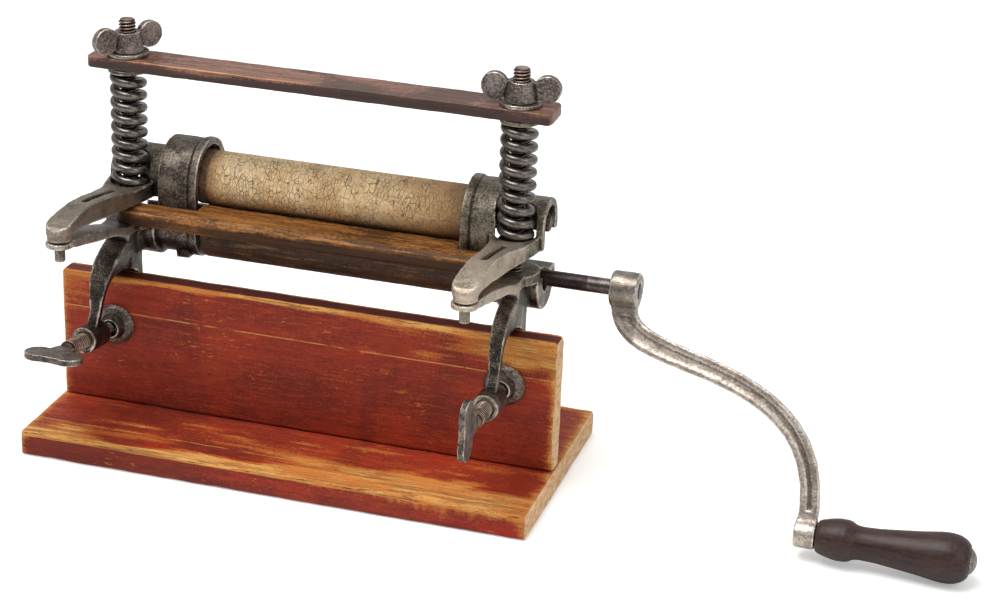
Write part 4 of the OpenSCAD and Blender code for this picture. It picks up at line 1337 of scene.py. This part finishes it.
@dataclass
class Stand:
    """Base board and upright board of painted pine, with their wood screws.

    Attributes:
        shop: Gives the nodes and takes the pieces.
        base: Rounding of the base board.
        upright: Rounding of the upright board.
        band: Width of the worn band along the edges, in millimetres.
        corner: Radius of the corners that are worn round, in millimetres.
        skin: Depth to which a face's own wear reaches, in millimetres.
        raw: Depth of the raw sawn ends, in millimetres.
        upright_patches: Worn patches on the upright's front, by X and Z.
        base_patches: Worn patches on the base's top, by X and Y.
    """

    shop: Workshop
    base: Rounding = Rounding(0.7, 2, 0.2, 14, 3)
    upright: Rounding = Rounding(0.6, 2, 0.16, 16, 5)
    band: float = 2.6
    corner: float = 2.4
    skin: float = 1.2
    raw: float = 0.9
    upright_patches: tuple[Patch, ...] = (
        ((72, 54), (24, 3.4), 0.42), ((49, 49.5), (8, 1.6), 0.5), ((86, 52), (9, 6), 0.55),
        ((-91, 52), (7, 7), 0.3), ((33, 40), (6, 1.6), 0.42), ((39, 33), (4, 1.7), 0.42),
        ((-48, 41), (8, 1.1), 0.36), ((9, 33), (12, 1.1), 0.3), ((2, 38), (3, 0.9), 0.34),
        ((58, 27), (3, 1.2), 0.4), ((12, 50), (7, 1.3), 0.34), ((88, 41), (6, 2.4), 0.3),
        ((28, 47), (5, 1.2), 0.4), ((88, 22), (5, 2.5), 0.25), ((80, 30), (12, 12), -0.35),
    )
    base_patches: tuple[Patch, ...] = (
        ((84, -40), (18, 8), 0.35), ((-62, -28), (14, 1.6), 0.42), ((60, -24), (16, 2.2), 0.35),
        ((20, -33), (20, 2.6), 0.4), ((-20, -24), (10, 1.4), 0.36), ((-84, -38), (9, 3), 0.4),
        ((-40, -20), (9, 1.1), 0.34), ((5, -20), (8, 1.2), 0.34), ((44, -40), (22, 7), 0.3),
        ((-8, -30), (26, 4), 0.3), ((-60, -36), (22, 4), 0.3), ((62, -33), (26, 6), 0.4),
        ((30, -16), (12, 1.6), 0.34), ((76, -16), (10, 2.0), 0.34), ((-75, -14), (9, 1.4), 0.3),
    )

    def near(self, distance: Array, width: float | Array) -> Array:
        """Falls from 1 on an edge to about a third at a width from it, in millimetres."""
        return np.exp(-np.maximum(distance, 0) / MM / width)

    def patches(self, points: Array, axes: tuple[int, int], spots: tuple[Patch, ...]) -> Array:
        """Adds up oval patches, each as strong as its depth in its middle and fading outwards.

        Args:
            points: Vertices in metres.
            axes: The two axes on which the patches are placed.
            spots: The patches.

        Returns:
            Their sum at each point.
        """
        total = np.zeros(len(points))
        for middle, spread, depth in spots:
            off = [(points[:, a] / MM - m) / s for a, m, s in zip(axes, middle, spread)]
            total += depth * np.exp(-(off[0] ** 2 + off[1] ** 2))
        return total

    def store(self, piece: bpy.types.Object, node: str, worn: Array, shade: Array) -> None:
        """Stores the fields that the paint reads, with the raw ends.

        Args:
            piece: The board.
            node: The node that it stands for.
            worn: How far the paint is worn.
            shade: How far it is darkened: painted shade on the upright's top, darker paint on the
                base's front.
        """
        low, high = self.shop.corners(node)
        x, raw = mesh_points(piece.data)[:, 0], self.raw * MM
        set_field(piece, "worn", np.clip(worn, 0, MOST_WORN))
        set_field(piece, "shade", shade)
        set_field(piece, "sawn", (high[0] - x < raw) | (x - low[0] < raw))

    def wear_upright(self, piece: bpy.types.Object) -> None:
        """Wears the upright's top edges and corners, more towards the right end.

        The wear falls off exponentially from each edge, over a width that wavers along X as two
        sine waves, and the patches are added to it.

        Args:
            piece: The upright board.
        """
        p, skin = mesh_points(piece.data), self.skin * MM
        low, high = self.shop.corners("upright_board")
        x, down = p[:, 0] / MM, high[2] - p[:, 2]
        front, back, top = p[:, 1] < low[1] + skin, p[:, 1] > high[1] - skin, down < skin
        waves = 0.6 * np.sin(x / 17) + 0.5 * np.sin(x / 6.1 + 2)
        width = 1.5 + waves + 3.0 * np.clip((x - 30) / 60, 0, 1)
        faces = front | back
        worn = 1.3 * self.near(down, width) * faces
        worn += top * (0.75 * self.near(np.minimum(p[:, 1] - low[1], high[1] - p[:, 1]), 1.0))
        worn += faces * 1.1 * self.near(high[0] - p[:, 0], 2.4)
        worn += faces * 0.8 * self.near(p[:, 0] - low[0], 2.4)
        worn += front * self.patches(p, (0, 2), self.upright_patches)
        # The top face gets painted shade
        self.store(piece, "upright_board", worn, 0.85 * top)

    def wear_base(self, piece: bpy.types.Object) -> None:
        """Wears a broad band along the base's front edge, and narrow ones along the others.

        The front band falls off as a bell curve on the top, over a width that wavers along X and
        grows towards the right. On the front it hangs down in columns. The other edges' bands fall
        off exponentially, and the patches are added.

        Args:
            piece: The base board.
        """
        p, skin = mesh_points(piece.data), self.skin * MM
        low, high = self.shop.corners("base_board")
        x, y = p[:, 0] / MM, p[:, 1] / MM
        top, front = p[:, 2] > high[2] - skin, p[:, 1] < low[1] + skin
        columns = ripple(p * [1, 0, 0], 2.6, 8)
        right = np.clip((x - 5) / 60, 0, 1)
        width = 4.6 + 1.5 * np.sin(x / 21 + 1) + 1.1 * np.sin(x / 7.3) + 6.5 * right
        worn = top * 1.3 * np.exp(-(((p[:, 1] - low[1]) / MM / width) ** 2) * 0.75)
        drop = 0.8 + 0.5 * np.sin(x / 9) + (2.6 + 1.4 * columns) * np.clip((x - 15) / 50, 0, 1)
        worn += 0.95 * front * self.near(high[2] - p[:, 2], np.maximum(drop, 0.4))
        worn += 0.9 * self.near(high[0] - p[:, 0], self.band)
        worn += 0.7 * self.near(p[:, 0] - low[0], self.band)
        worn += 0.7 * top * self.near(high[1] - p[:, 1], self.band)
        worn += 0.14 * top
        kept = np.clip(0.6 + 1.2 * ripple(p * [0.35, 1, 1], 5, 44), 0, 1)
        worn -= 0.35 * top * right * (y < -18) * kept
        worn += top * self.patches(p, (0, 1), self.base_patches)
        self.store(piece, "base_board", worn, 0.4 * front * np.clip((20 - x) / 60, 0, 1))

    def build(self) -> None:
        """Makes the boards and paints the screws."""
        base_high = self.shop.corners("base_board")[1]
        high = self.shop.corners("upright_board")[1]

        def base_eased(points: Array) -> Array:
            """Rounds the base's top edge at its right end."""
            return rounded_corner(points, (0, 2), (base_high[0], base_high[2]), 1.4 * MM)

        def upright_eased(points: Array) -> Array:
            """Rounds the upright's two top corners."""
            points = rounded_corner(points, (0, 2), (high[0], high[2]), self.corner * MM)
            return rounded_corner(points, (0, 2), (-high[0], high[2]), -0.6 * self.corner * MM)

        shop = self.shop
        self.wear_base(shop.fit_copy("base_board", BASE_PINE, self.base, base_eased))
        self.wear_upright(shop.fit_copy("upright_board", UPRIGHT_PINE, self.upright, upright_eased))
        shop.paint(shop.nodes["stand_screws"], PLAIN_STEEL)


@dataclass
class EndFrames:
    """Lower castings with their clamp hooks, and the clamp screws and pads.

    Attributes:
        shop: Gives the nodes and takes the pieces.
        casting: Rounding of the castings.
        small: Rounding of the pads and the screws' thumb pieces.
        crest: Outer radius of the clamp screws, in millimetres.
        root: Radius at the bottom of their thread, in millimetres.
        pitch: Pitch of the thread, in millimetres.
        neck: Where the thread starts, behind the middle of the boss, in millimetres.
        run: Length of the thread, in millimetres.
        arm_back: Where the rubbed part of the arms ends along Y, in millimetres.
        arm_low: Height above which the arms are rubbed, in millimetres.
        leg_top: Height below which the hooks are dull, in millimetres.
        polish: Tone of the rubbed arms.
        dullness: How much darker the tone of each side's hook is.
    """

    shop: Workshop
    casting: Rounding = Rounding(0.44, 3, 0.12, 6, 11)
    small: Rounding = Rounding(0.3, 3, 0.05, 4, 12)
    crest: float = 3.15
    root: float = 2.5
    pitch: float = 1.27
    neck: float = 15.6
    run: float = 27.6
    arm_back: float = -8
    arm_low: float = 76
    leg_top: float = 74
    polish: float = 0.82
    dullness: dict[Side, float] = field(
        default_factory=lambda: {Side.LEFT: 1.4, Side.RIGHT: 0.6})

    def clamp_screw(self, side: Side) -> None:
        """Makes a clamp screw: the node's own thumb piece and nose, with a real thread between.

        Args:
            side: The end that it belongs to.
        """
        joint = self.shop.joints[f"clamp_{side.word}_turn"]
        middle, axis = np.array(joint["pos_m"], float), np.array(joint["axis"], float)
        axis /= np.linalg.norm(axis)
        start, end = -self.neck * MM, (self.run - self.neck) * MM

        def narrowed(points: Array) -> Array:
            """Draws the shank in to the bottom of the thread.

            Args:
                points: Vertices in metres.

            Returns:
                The moved points.
            """
            along = (points - middle) @ axis
            out = points - middle - along[:, None] * axis
            radius = np.linalg.norm(out, axis=1)
            shank = (along > start) & (along < end + 1.2 * MM) & (radius < self.crest * MM * 1.03)
            core = self.root * 0.96 * MM
            share = np.where(shank, np.minimum(1, core / np.maximum(radius, 1e-9)), 1)
            return middle + along[:, None] * axis + out * share[:, None]

        node = f"clamp_screw_{side.word}"
        self.shop.fit_copy(node, IRON_HOOK, self.small, narrowed)
        thread = threaded(f"clamp_thread_{side.word}", middle + start * axis, axis, self.run * MM,
                          self.crest * MM, self.root * MM, self.pitch * MM, 0.6 * MM)
        self.shop.fit(thread, RUSTY_STEEL, node)

    def build(self) -> None:
        """Makes both end frames, screws and pads."""
        for side in Side:
            frame = self.shop.fit_copy(f"lower_frame_{side.word}", IRON[side], self.casting)
            p = mesh_points(frame.data) / MM
            arm = eased_step(self.arm_back - p[:, 1], 4) * eased_step(p[:, 2] - self.arm_low, 3)
            leg = eased_step(self.leg_top - p[:, 2], 5)
            set_field(frame, "tone", self.polish * arm - self.dullness[side] * leg)
            self.shop.fit_copy(f"clamp_pad_{side.word}", IRON_HOOK, self.small)
            self.clamp_screw(side)


@dataclass
class TopArms:
    """Upper castings, which carry the upper roller, and the pins that they swing on.

    Attributes:
        shop: Gives the nodes and takes the pieces.
        casting: Rounding of the castings.
        small: Rounding of the pins.
        rubbed_to: Where the rubbed front part ends along Y, in millimetres.
        dull_from: Where the dull back part begins along Y, in millimetres.
    """

    shop: Workshop
    casting: Rounding = Rounding(0.44, 3, 0.12, 6, 21)
    small: Rounding = Rounding(0.28, 2)
    rubbed_to: float = -6
    dull_from: float = 14

    def build(self) -> None:
        """Makes both arms and pins."""
        for side in Side:
            casting = self.shop.fit_copy(f"upper_arm_{side.word}", IRON[side], self.casting)
            y = mesh_points(casting.data)[:, 1] / MM
            rubbed, dull = eased_step(self.rubbed_to - y, 4), eased_step(y - self.dull_from, 4)
            set_field(casting, "tone", 0.82 * rubbed - 0.35 * dull)
            self.shop.fit_copy(f"pivot_pin_{side.word}", IRON[side], self.small)


@dataclass
class Press:
    """Rods, springs, crossbar, washers and wing nuts, which press the rollers together.

    Attributes:
        shop: Gives the nodes and takes the pieces.
        crest: Outer radius of the rods' thread, in millimetres.
        root: Radius at the bottom of the thread, in millimetres.
        pitch: Pitch of the thread, in millimetres.
        wire: Diameter of a spring's wire, in millimetres.
        coil: Radius of its centre line, in millimetres.
        foot: Height of its lowest point, in millimetres.
        head: Height of its highest point, in millimetres.
        turns: Turns of a spring.
        flat_turns: Turns at each end over which the pitch grows.
        start: Angle at which the wire begins, in degrees.
        split: Share of the height at which a spring's two halves meet.
        bar: Rounding of the crossbar.
        nut: Rounding of the wing nuts.
        washer: Rounding of the washers.
    """

    shop: Workshop
    crest: float = 3.175
    root: float = 2.5
    pitch: float = 1.27
    wire: float = 3.5
    coil: float = 5.25
    foot: float = 95.7
    head: float = 140.3
    turns: float = 8.75
    flat_turns: float = 0.3
    start: float = 45.0
    split: float = 0.47
    bar: Rounding = Rounding(0.42, 4, 0.12, 9, 31)
    nut: Rounding = Rounding(0.25, 3, 0.07, 4, 32)
    washer: Rounding = Rounding(0.26, 2, 0.04, 4, 33)

    def rod(self, side: Side) -> None:
        """Makes a rod, threaded over its whole length.

        Args:
            side: The end that it stands at.
        """
        node = f"threaded_rod_{side.word}"
        low, high = self.shop.corners(node)
        foot = np.array([(low[0] + high[0]) / 2, (low[1] + high[1]) / 2, low[2]])
        made = threaded(f"rod_thread_{side.word}", foot, Z_AXIS, high[2] - low[2],
                        self.crest * MM, self.root * MM, self.pitch * MM, 0.7 * MM)
        self.shop.fit(made, RUSTY_STEEL, node)

    def wire_rings(self, low: Array, high: Array) -> Array:
        """Works out the rings of a spring's wire.

        The centre line turns left-handed at a constant radius. Its height grows with the square of
        the turns over the flat turns at both ends, and evenly between them.

        Args:
            low: Lowest corner of the spring, in metres.
            high: Highest corner of the spring.

        Returns:
            Points by ring, by place round the wire, and by coordinate.
        """
        sides, rings_a_turn = 22, 60
        wire = self.wire * MM / 2
        middle = (high[0] + low[0]) / 2, (high[1] + low[1]) / 2
        reach = self.coil * MM
        pitch = ((self.head - self.foot) * MM - 2 * wire) / (self.turns - self.flat_turns)
        t = np.linspace(0, self.turns, int(self.turns * rings_a_turn) + 1)
        f = self.flat_turns
        half, rise = self.turns / 2, pitch * (self.turns - self.flat_turns)

        def risen(n: Array) -> Array:
            """Height gained after n turns."""
            return np.where(n < f, pitch * n * n / (2 * f), pitch * (n - f / 2))

        height = np.where(t < half, risen(t), rise - risen(self.turns - t))
        angle = np.radians(self.start) - 2 * np.pi * t
        out = np.stack([np.cos(angle), np.sin(angle), np.zeros_like(t)], 1)
        centre = np.stack([np.full_like(t, middle[0]), np.full_like(t, middle[1]),
                           self.foot * MM + wire + height], 1)
        line = out * reach + centre
        along = np.gradient(line, axis=0)
        along /= np.linalg.norm(along, axis=1)[:, None]
        up = np.cross(along, out)
        a = np.linspace(0, 2 * np.pi, sides, endpoint=False)
        from_line = np.cos(a)[:, None] * out[:, None] + np.sin(a)[:, None] * up[:, None]
        return line[:, None] + wire * from_line

    def spring(self, side: Side) -> None:
        """Makes a spring in two lengths: one on the arm below it, one under the crossbar.

        Args:
            side: The end that it stands at.
        """
        node = f"spring_{side.word}"
        low, high = self.shop.corners(node)
        rings = self.wire_rings(low, high)
        cut_z = low[2] + self.split * (high[2] - low[2])
        cut = int(np.argmax(rings[:, :, 2].mean(1) > cut_z))
        for word, part, bodies, ends in (
            ("lower", rings[: cut + 1], ("top_arms", "stand"), (low[2] + 2 * MM, cut_z - 1.5 * MM)),
            ("upper", rings[cut:], ("stand", "crossbar"), (cut_z + 1.5 * MM, high[2] - 2 * MM)),
        ):
            piece = swept(f"spring_{word}_{side.word}", part)
            self.shop.paint(piece, SPRING_STEEL)
            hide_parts(node)
            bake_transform(piece)
            log.info("%s stands for part of %s", piece.name, node)

    def rub_crossbar(self, crossbar: bpy.types.Object) -> None:
        """Rubs the crossbar's front golden along its upper edge, and paints shade on the front
        below it.

        Args:
            crossbar: The crossbar.
        """
        p = mesh_points(crossbar.data)
        low, high = self.shop.corners("crossbar")
        front = p[:, 1] < low[1] + 0.8 * MM
        upper = np.exp(-np.maximum(high[2] - p[:, 2], 0) / (1.6 * MM))
        along = np.clip(1.1 - np.abs(p[:, 0] / MM + 42) / 50, 0, 1)
        # Golden wear along the upper edge; the rest of the front gets painted shade
        rubbed = front * (0.5 * upper * along - 0.85 * (1 - upper))
        set_field(crossbar, "rubbed", rubbed + 0.15 * ripple(p, 30, 4))

    def build(self) -> None:
        """Makes the whole press."""
        self.rub_crossbar(self.shop.fit_copy("crossbar", BAR_WOOD, self.bar))
        for side in Side:
            self.rod(side)
            self.spring(side)
            self.shop.fit_copy(f"wing_nut_{side.word}", NUT_IRON, self.nut)
            self.shop.fit_copy(f"nut_washer_{side.word}", PLAIN_STEEL, self.washer)
            self.shop.fit_copy(f"spring_washer_{side.word}", IRON[Side.LEFT], self.washer)


@dataclass
class Guide:
    """Board in front of the rollers, which guides the cloth.

    Attributes:
        shop: Gives the nodes and takes the pieces.
        board: Rounding of the board.
        fading: Length from the left end over which the painted highlight weakens and the painted
            shade on the front deepens, in millimetres.
        dirty: Length over which the left end is darkened, in millimetres.
    """

    shop: Workshop
    board: Rounding = Rounding(0.45, 3, 0.14, 12, 41)
    fading: float = 95
    dirty: float = 9

    def build(self) -> None:
        """Makes the board: paints a highlight along its rounded front edge and shade on its front
        faces, lightens its top faces a little as painted light, and darkens its left end.

        The highlight lies where the surface faces forward and up at about 40 degrees. It is a bell
        curve of the normal's height.
        """
        piece = self.shop.fit_copy("guide_board", GUIDE_WOOD, self.board)
        p = mesh_points(piece.data)
        low = self.shop.corners("guide_board")[0]
        normals = mesh_normals(piece.data)
        # Painted highlight along the rounded front edge, and painted shade on the faces that face
        # forward
        painted_ridge_highlight = np.exp(-(((normals[:, 2] - 0.62) / 0.15) ** 2)) * (normals[:, 1] < 0)
        painted_front_shade = np.clip(-normals[:, 1], 0, 1) * (p[:, 1] < low[1] + 6 * MM)
        along = np.clip(1.1 - (p[:, 0] - low[0]) / (self.fading * MM), 0, 1)
        # Top faces get a little painted light; the left end is darkened
        top = np.clip(normals[:, 2], 0, 1) ** 2
        end = np.exp(-(p[:, 0] - low[0]) / (self.dirty * MM))
        rubbed = painted_ridge_highlight * (0.8 + 0.2 * along) + 0.05 * top - 0.7 * end
        rubbed -= painted_front_shade * (0.48 * along + 0.7 * (1 - along))
        set_field(piece, "rubbed", rubbed + 0.12 * ripple(p, 26, 6))


@dataclass
class Rollers:
    """The two rollers: rubber sleeves on steel shafts.

    Attributes:
        shop: Gives the nodes and takes the pieces.
        chamfer: Rounding at the ends of the rubber, in millimetres.
        dents: Unevenness of the rubber, in millimetres.
        stained: Length over which the right end's staining fades, in millimetres.
        hidden: Length of rubber that lies inside each hood, in millimetres.
        bore: Radius of the rubber's bore, in millimetres.
    """

    shop: Workshop
    chamfer: float = 1.2
    dents: float = 0.1
    stained: float = 19
    hidden: float = 5.0
    bore: float = 3.02

    def sleeve(self, node: str, finish: Finish, seed: int) -> None:
        """Makes a rubber sleeve: a turned loop round its bore, with small dents.

        Args:
            node: The node that it stands for.
            finish: Its rubber.
            seed: Seed of the dents.
        """
        foot, length, radius = self.shop.barrel(node)
        corner = self.chamfer * MM
        outer = chamfered(length, radius, self.bore * MM, corner)
        profile = eased(outer, 0.5 * MM, 1.6 * MM)
        piece = turned(node + "_aged", foot, X_AXIS, profile, 150, closed_loop=True)
        p = mesh_points(piece.data)
        skin = np.linalg.norm(p[:, 1:] - foot[1:], axis=1) > radius - corner
        inward = (foot - p) * [0, 1, 1]
        inward /= np.maximum(np.linalg.norm(inward, axis=1), 1e-9)[:, None]
        depth = self.dents * MM * (1 - 0.6 * ripple(p, 13, seed) - 0.4 * ripple(p, 4, seed + 1)) / 2
        set_points(piece.data, p + inward * (depth * skin)[:, None])
        left = np.maximum((p[:, 0] - foot[0]) / MM - self.hidden, 0)
        right = np.maximum((foot[0] + length - p[:, 0]) / MM - self.hidden, 0)
        stain = 1.35 * np.exp(-left / 2.8) + 0.85 * np.exp(-right / self.stained)
        # The lower side is darkened as painted shade, kept with the stains of the ends
        painted_shade_below = np.clip((foot[2] - p[:, 2]) / radius * 1.6 - 0.5, 0, 1)
        set_field(piece, "stain", np.maximum(stain, 0.55 * painted_shade_below))
        self.shop.fit(piece, finish, node)

    def shaft(self, node: str, finish: Finish, worn: tuple[float, float] | None = None) -> None:
        """Makes a shaft with eased ends.

        Args:
            node: The node that it stands for.
            finish: Its steel.
            worn: The two places along X between which it is rubbed bright, in millimetres.
        """
        foot, length, radius = self.shop.barrel(node)
        profile = eased(chamfered(length, radius, 0.2 * MM, 0.5 * MM), 0.4 * MM, 0.8 * MM)
        piece = turned(node + "_turned", foot, X_AXIS, profile, 48)
        if worn:
            p = mesh_points(piece.data)
            x = p[:, 0] / MM + 0.8 * ripple(p, 3, 9)
            band = np.clip(np.minimum(x - worn[0], worn[1] - x) / 1.2, 0, 1)
            set_field(piece, "edge", band * (0.95 + 0.25 * ripple(p, 5, 10)))
        self.shop.fit(piece, finish, node)

    def build(self) -> None:
        """Makes both rollers and shafts."""
        self.sleeve("upper_roller_rubber", CrackedRubber(), 51)
        self.sleeve("lower_roller_rubber", DarkRubber(), 53)
        self.shaft("upper_roller_shaft", RUSTY_STEEL)
        self.shaft("crank_shaft", DARK_SHAFT, (102.5, 113))


@dataclass
class Crank:
    """Curved crank arm with its turned grip and spindle.

    Attributes:
        shop: Gives the nodes and takes the pieces.
        arm: Rounding of the arm.
        head: Rounding of the spindle.
        outline: Rows of the grip's share of length and radius in millimetres.
        bore: Radius of the grip's bore, in millimetres.
        hub: Where the hub ends along X, in millimetres.
        mark: Depth of the grip's tool marks, in millimetres.
        feed: Their spacing over two pi, in millimetres.
    """

    shop: Workshop
    arm: Rounding = Rounding(0.38, 12, 0.08, 5, 61)
    head: Rounding = Rounding(0.24, 2, 0.03, 4, 62)
    outline: tuple[tuple[float, float], ...] = (
        (0.0, 5.3), (0.022, 6.1), (0.08, 7.0), (0.14, 7.6), (0.2, 7.6), (0.235, 7.0), (0.25, 6.3),
        (0.3, 6.0), (0.4, 6.2), (0.52, 6.9), (0.68, 7.9), (0.8, 8.9), (0.86, 9.1), (0.92, 8.7),
        (0.97, 7.4), (1.0, 5.6),
    )
    bore: float = 2.08
    hub: float = 124.0
    mark: float = 0.012
    feed: float = 0.35

    def grip(self) -> None:
        """Turns the grip from its outline, closed round its bore, with faint tool marks."""
        foot, length, _ = self.shop.barrel("grip")
        share, radius = np.array(self.outline).T
        outer = np.stack([share * length, radius * MM], 1)
        bore = self.bore * MM
        profile = eased(np.concatenate([[[0, bore]], outer, [[length, bore]]]), 0.4 * MM, 2.0 * MM)
        profile[:, 1] = np.maximum(profile[:, 1], bore)
        profile[:, 1] -= self.mark * MM * (1 + np.sin(profile[:, 0] / (self.feed * MM)))
        profile[:, 1] = np.maximum(profile[:, 1], (self.bore - 0.05) * MM)
        piece = turned("grip_turned", foot, X_AXIS, profile, 112, closed_loop=True)
        self.shop.fit(piece, GRIP_WOOD, "grip")

    def build(self) -> None:
        """Makes the arm, the grip and the spindle."""
        arm = self.shop.fit_copy("crank_arm", BRIGHT_IRON, self.arm)
        hub = eased_step(self.hub - mesh_points(arm.data)[:, 0] / MM, 3)
        set_field(arm, "tone", -0.8 * hub)
        self.grip()
        self.shop.fit_copy("grip_spindle", PLAIN_STEEL, self.head)


@dataclass
class Studio:
    """Pale floor, soft light and the camera.

    Attributes:
        eye: Place of the camera, in millimetres.
        turn: Its direction to the left of straight ahead, in degrees.
        tilt: Its look down, in degrees.
        roll: Its turn about its own line of sight, in degrees.
        reach: Focal length in pixels of a picture 1000 wide.
        sensor: Width of the sensor, in millimetres.
        floor_colour: Colour of the floor.
        glow: How much the floor's shade is lifted for the camera.
        brightest: Way that faces the brightest part of the surroundings.
        facing: How far a way faces it where the light is weakest and strongest.
        light: Weakest and strongest light.
    """

    eye: tuple[float, float, float] = (303.5, -812.1, 422.8)
    turn: float = 15.83
    tilt: float = 22.63
    roll: float = 2.24
    reach: float = 2484.25
    sensor: float = 36
    floor_colour: Colour = (0.9, 0.9, 0.89)
    glow: float = 0.3
    brightest: tuple[float, float, float] = (0.05, 0.5, 0.86)
    facing: tuple[float, float] = (-0.45, 0.6)
    light: tuple[float, float] = (0.2, 0.8)

    def camera(self) -> None:
        """Places the camera."""
        a, e, r = (math.radians(v) for v in (self.turn, self.tilt, self.roll))
        ahead = Vector((-math.sin(a) * math.cos(e), math.cos(a) * math.cos(e), -math.sin(e)))
        level = Vector((math.cos(a), math.sin(a), 0))
        above = level.cross(ahead)
        right = level * math.cos(r) + above * math.sin(r)
        up = above * math.cos(r) - level * math.sin(r)
        data = bpy.data.cameras.new("camera")
        data.sensor_width = self.sensor
        data.lens = self.reach * self.sensor / 1000
        data.clip_start, data.clip_end = 0.05, 20
        made = placed("camera", data)
        turn = Matrix((right, up, -ahead)).transposed().to_4x4()
        made.matrix_world = Matrix.Translation(Vector(self.eye) * MM) @ turn
        bpy.context.scene.camera = made

    def lamp(self, name: str, place: tuple[float, float, float], size: float, power: float) -> None:
        """Adds a square soft lamp that faces the wringer.

        Args:
            name: Name of the lamp.
            place: Where it hangs, in metres.
            size: Length of its sides, in metres.
            power: Its power in watts.
        """
        data = bpy.data.lights.new(name, "AREA")
        data.size, data.energy = size, power
        made = placed(name, data)
        made.location = place
        look = Vector((0.05, 0, 0.06)) - Vector(place)
        made.rotation_euler = look.to_track_quat("-Z", "Y").to_euler()

    def surroundings(self) -> None:
        """Lights the scene from all round: white to the camera, and dimmer low in front."""
        world = bpy.data.worlds.new("studio")
        bpy.context.scene.world = world
        world.use_nodes = True
        w = Wiring(world.node_tree)
        facing = w.node("ShaderNodeVectorMath", operation="DOT_PRODUCT")
        w.feed(facing.inputs[0], w.node("ShaderNodeTexCoord").outputs["Generated"])
        facing.inputs[1].default_value = self.brightest
        level = w.node("ShaderNodeMapRange")
        w.feed(level.inputs["Value"], facing.outputs["Value"])
        for name, value in zip(RANGE_SOCKETS, self.facing + self.light):
            level.inputs[name].default_value = value
        strength = w.node("ShaderNodeMix")
        w.feed(strength.inputs[0], w.node("ShaderNodeLightPath").outputs["Is Camera Ray"])
        w.feed(strength.inputs[2], level.outputs["Result"])
        strength.inputs[3].default_value = 1.0
        sky = w.node("ShaderNodeBackground")
        w.feed(sky.inputs["Strength"], strength.outputs[0])
        w.feed(w.node("ShaderNodeOutputWorld").inputs[0], sky.outputs[0])

    def floor(self) -> None:
        """Lays the floor, whose own shade lifts towards white for the camera."""
        span = np.linspace(-3, 3, 7)
        x, y = np.meshgrid(span, span, indexing="ij")
        points = np.stack([x, y, np.full_like(x, -0.0002)], -1).reshape(-1, 3)
        piece = new_piece("floor", points, grid_quads(7, 7, wrap_cols=False).tolist())
        material = bpy.data.materials.new("floor")
        material.use_nodes = True
        w = Wiring(material.node_tree)
        cloth = w.node("ShaderNodeBsdfDiffuse")
        w.feed(cloth.inputs["Color"], self.floor_colour)
        share = w.node("ShaderNodeMath", operation="MULTIPLY")
        w.feed(share.inputs[0], w.node("ShaderNodeLightPath").outputs["Is Camera Ray"])
        share.inputs[1].default_value = self.glow
        lift = w.node("ShaderNodeEmission")
        w.feed(lift.inputs["Strength"], share.outputs[0])
        both = w.node("ShaderNodeAddShader")
        w.feed(both.inputs[0], cloth.outputs[0])
        w.feed(both.inputs[1], lift.outputs[0])
        w.feed(w.node("ShaderNodeOutputMaterial").inputs[0], both.outputs[0])
        piece.data.materials.append(material)

    def build(self) -> None:
        """Sets up the whole studio."""
        self.camera()
        self.surroundings()
        self.floor()
        self.lamp("overhead", (-0.2, -0.34, 1.2), 0.8, 12)
        self.lamp("side", (1.1, -0.5, 0.7), 0.8, 2.5)
        bpy.context.scene.view_settings.view_transform = "Standard"


def main() -> None:
    """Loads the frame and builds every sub-assembly."""
    logging.basicConfig(level=logging.INFO, format="%(message)s")
    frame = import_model()
    bodies = frame["record"]["behaviour"]["bodies"]
    shop = Workshop(
        nodes=frame["nodes"],
        joints={joint["name"]: joint for joint in frame["joints"]},
        body_of={node: body for body, nodes in bodies.items() for node in nodes},
    )
    Studio().build()
    for part in (Stand, EndFrames, TopArms, Press, Guide, Rollers, Crank):
        part(shop).build()
        log.info("%s is built", part.__name__)


if __name__ == "__main__":
    main()
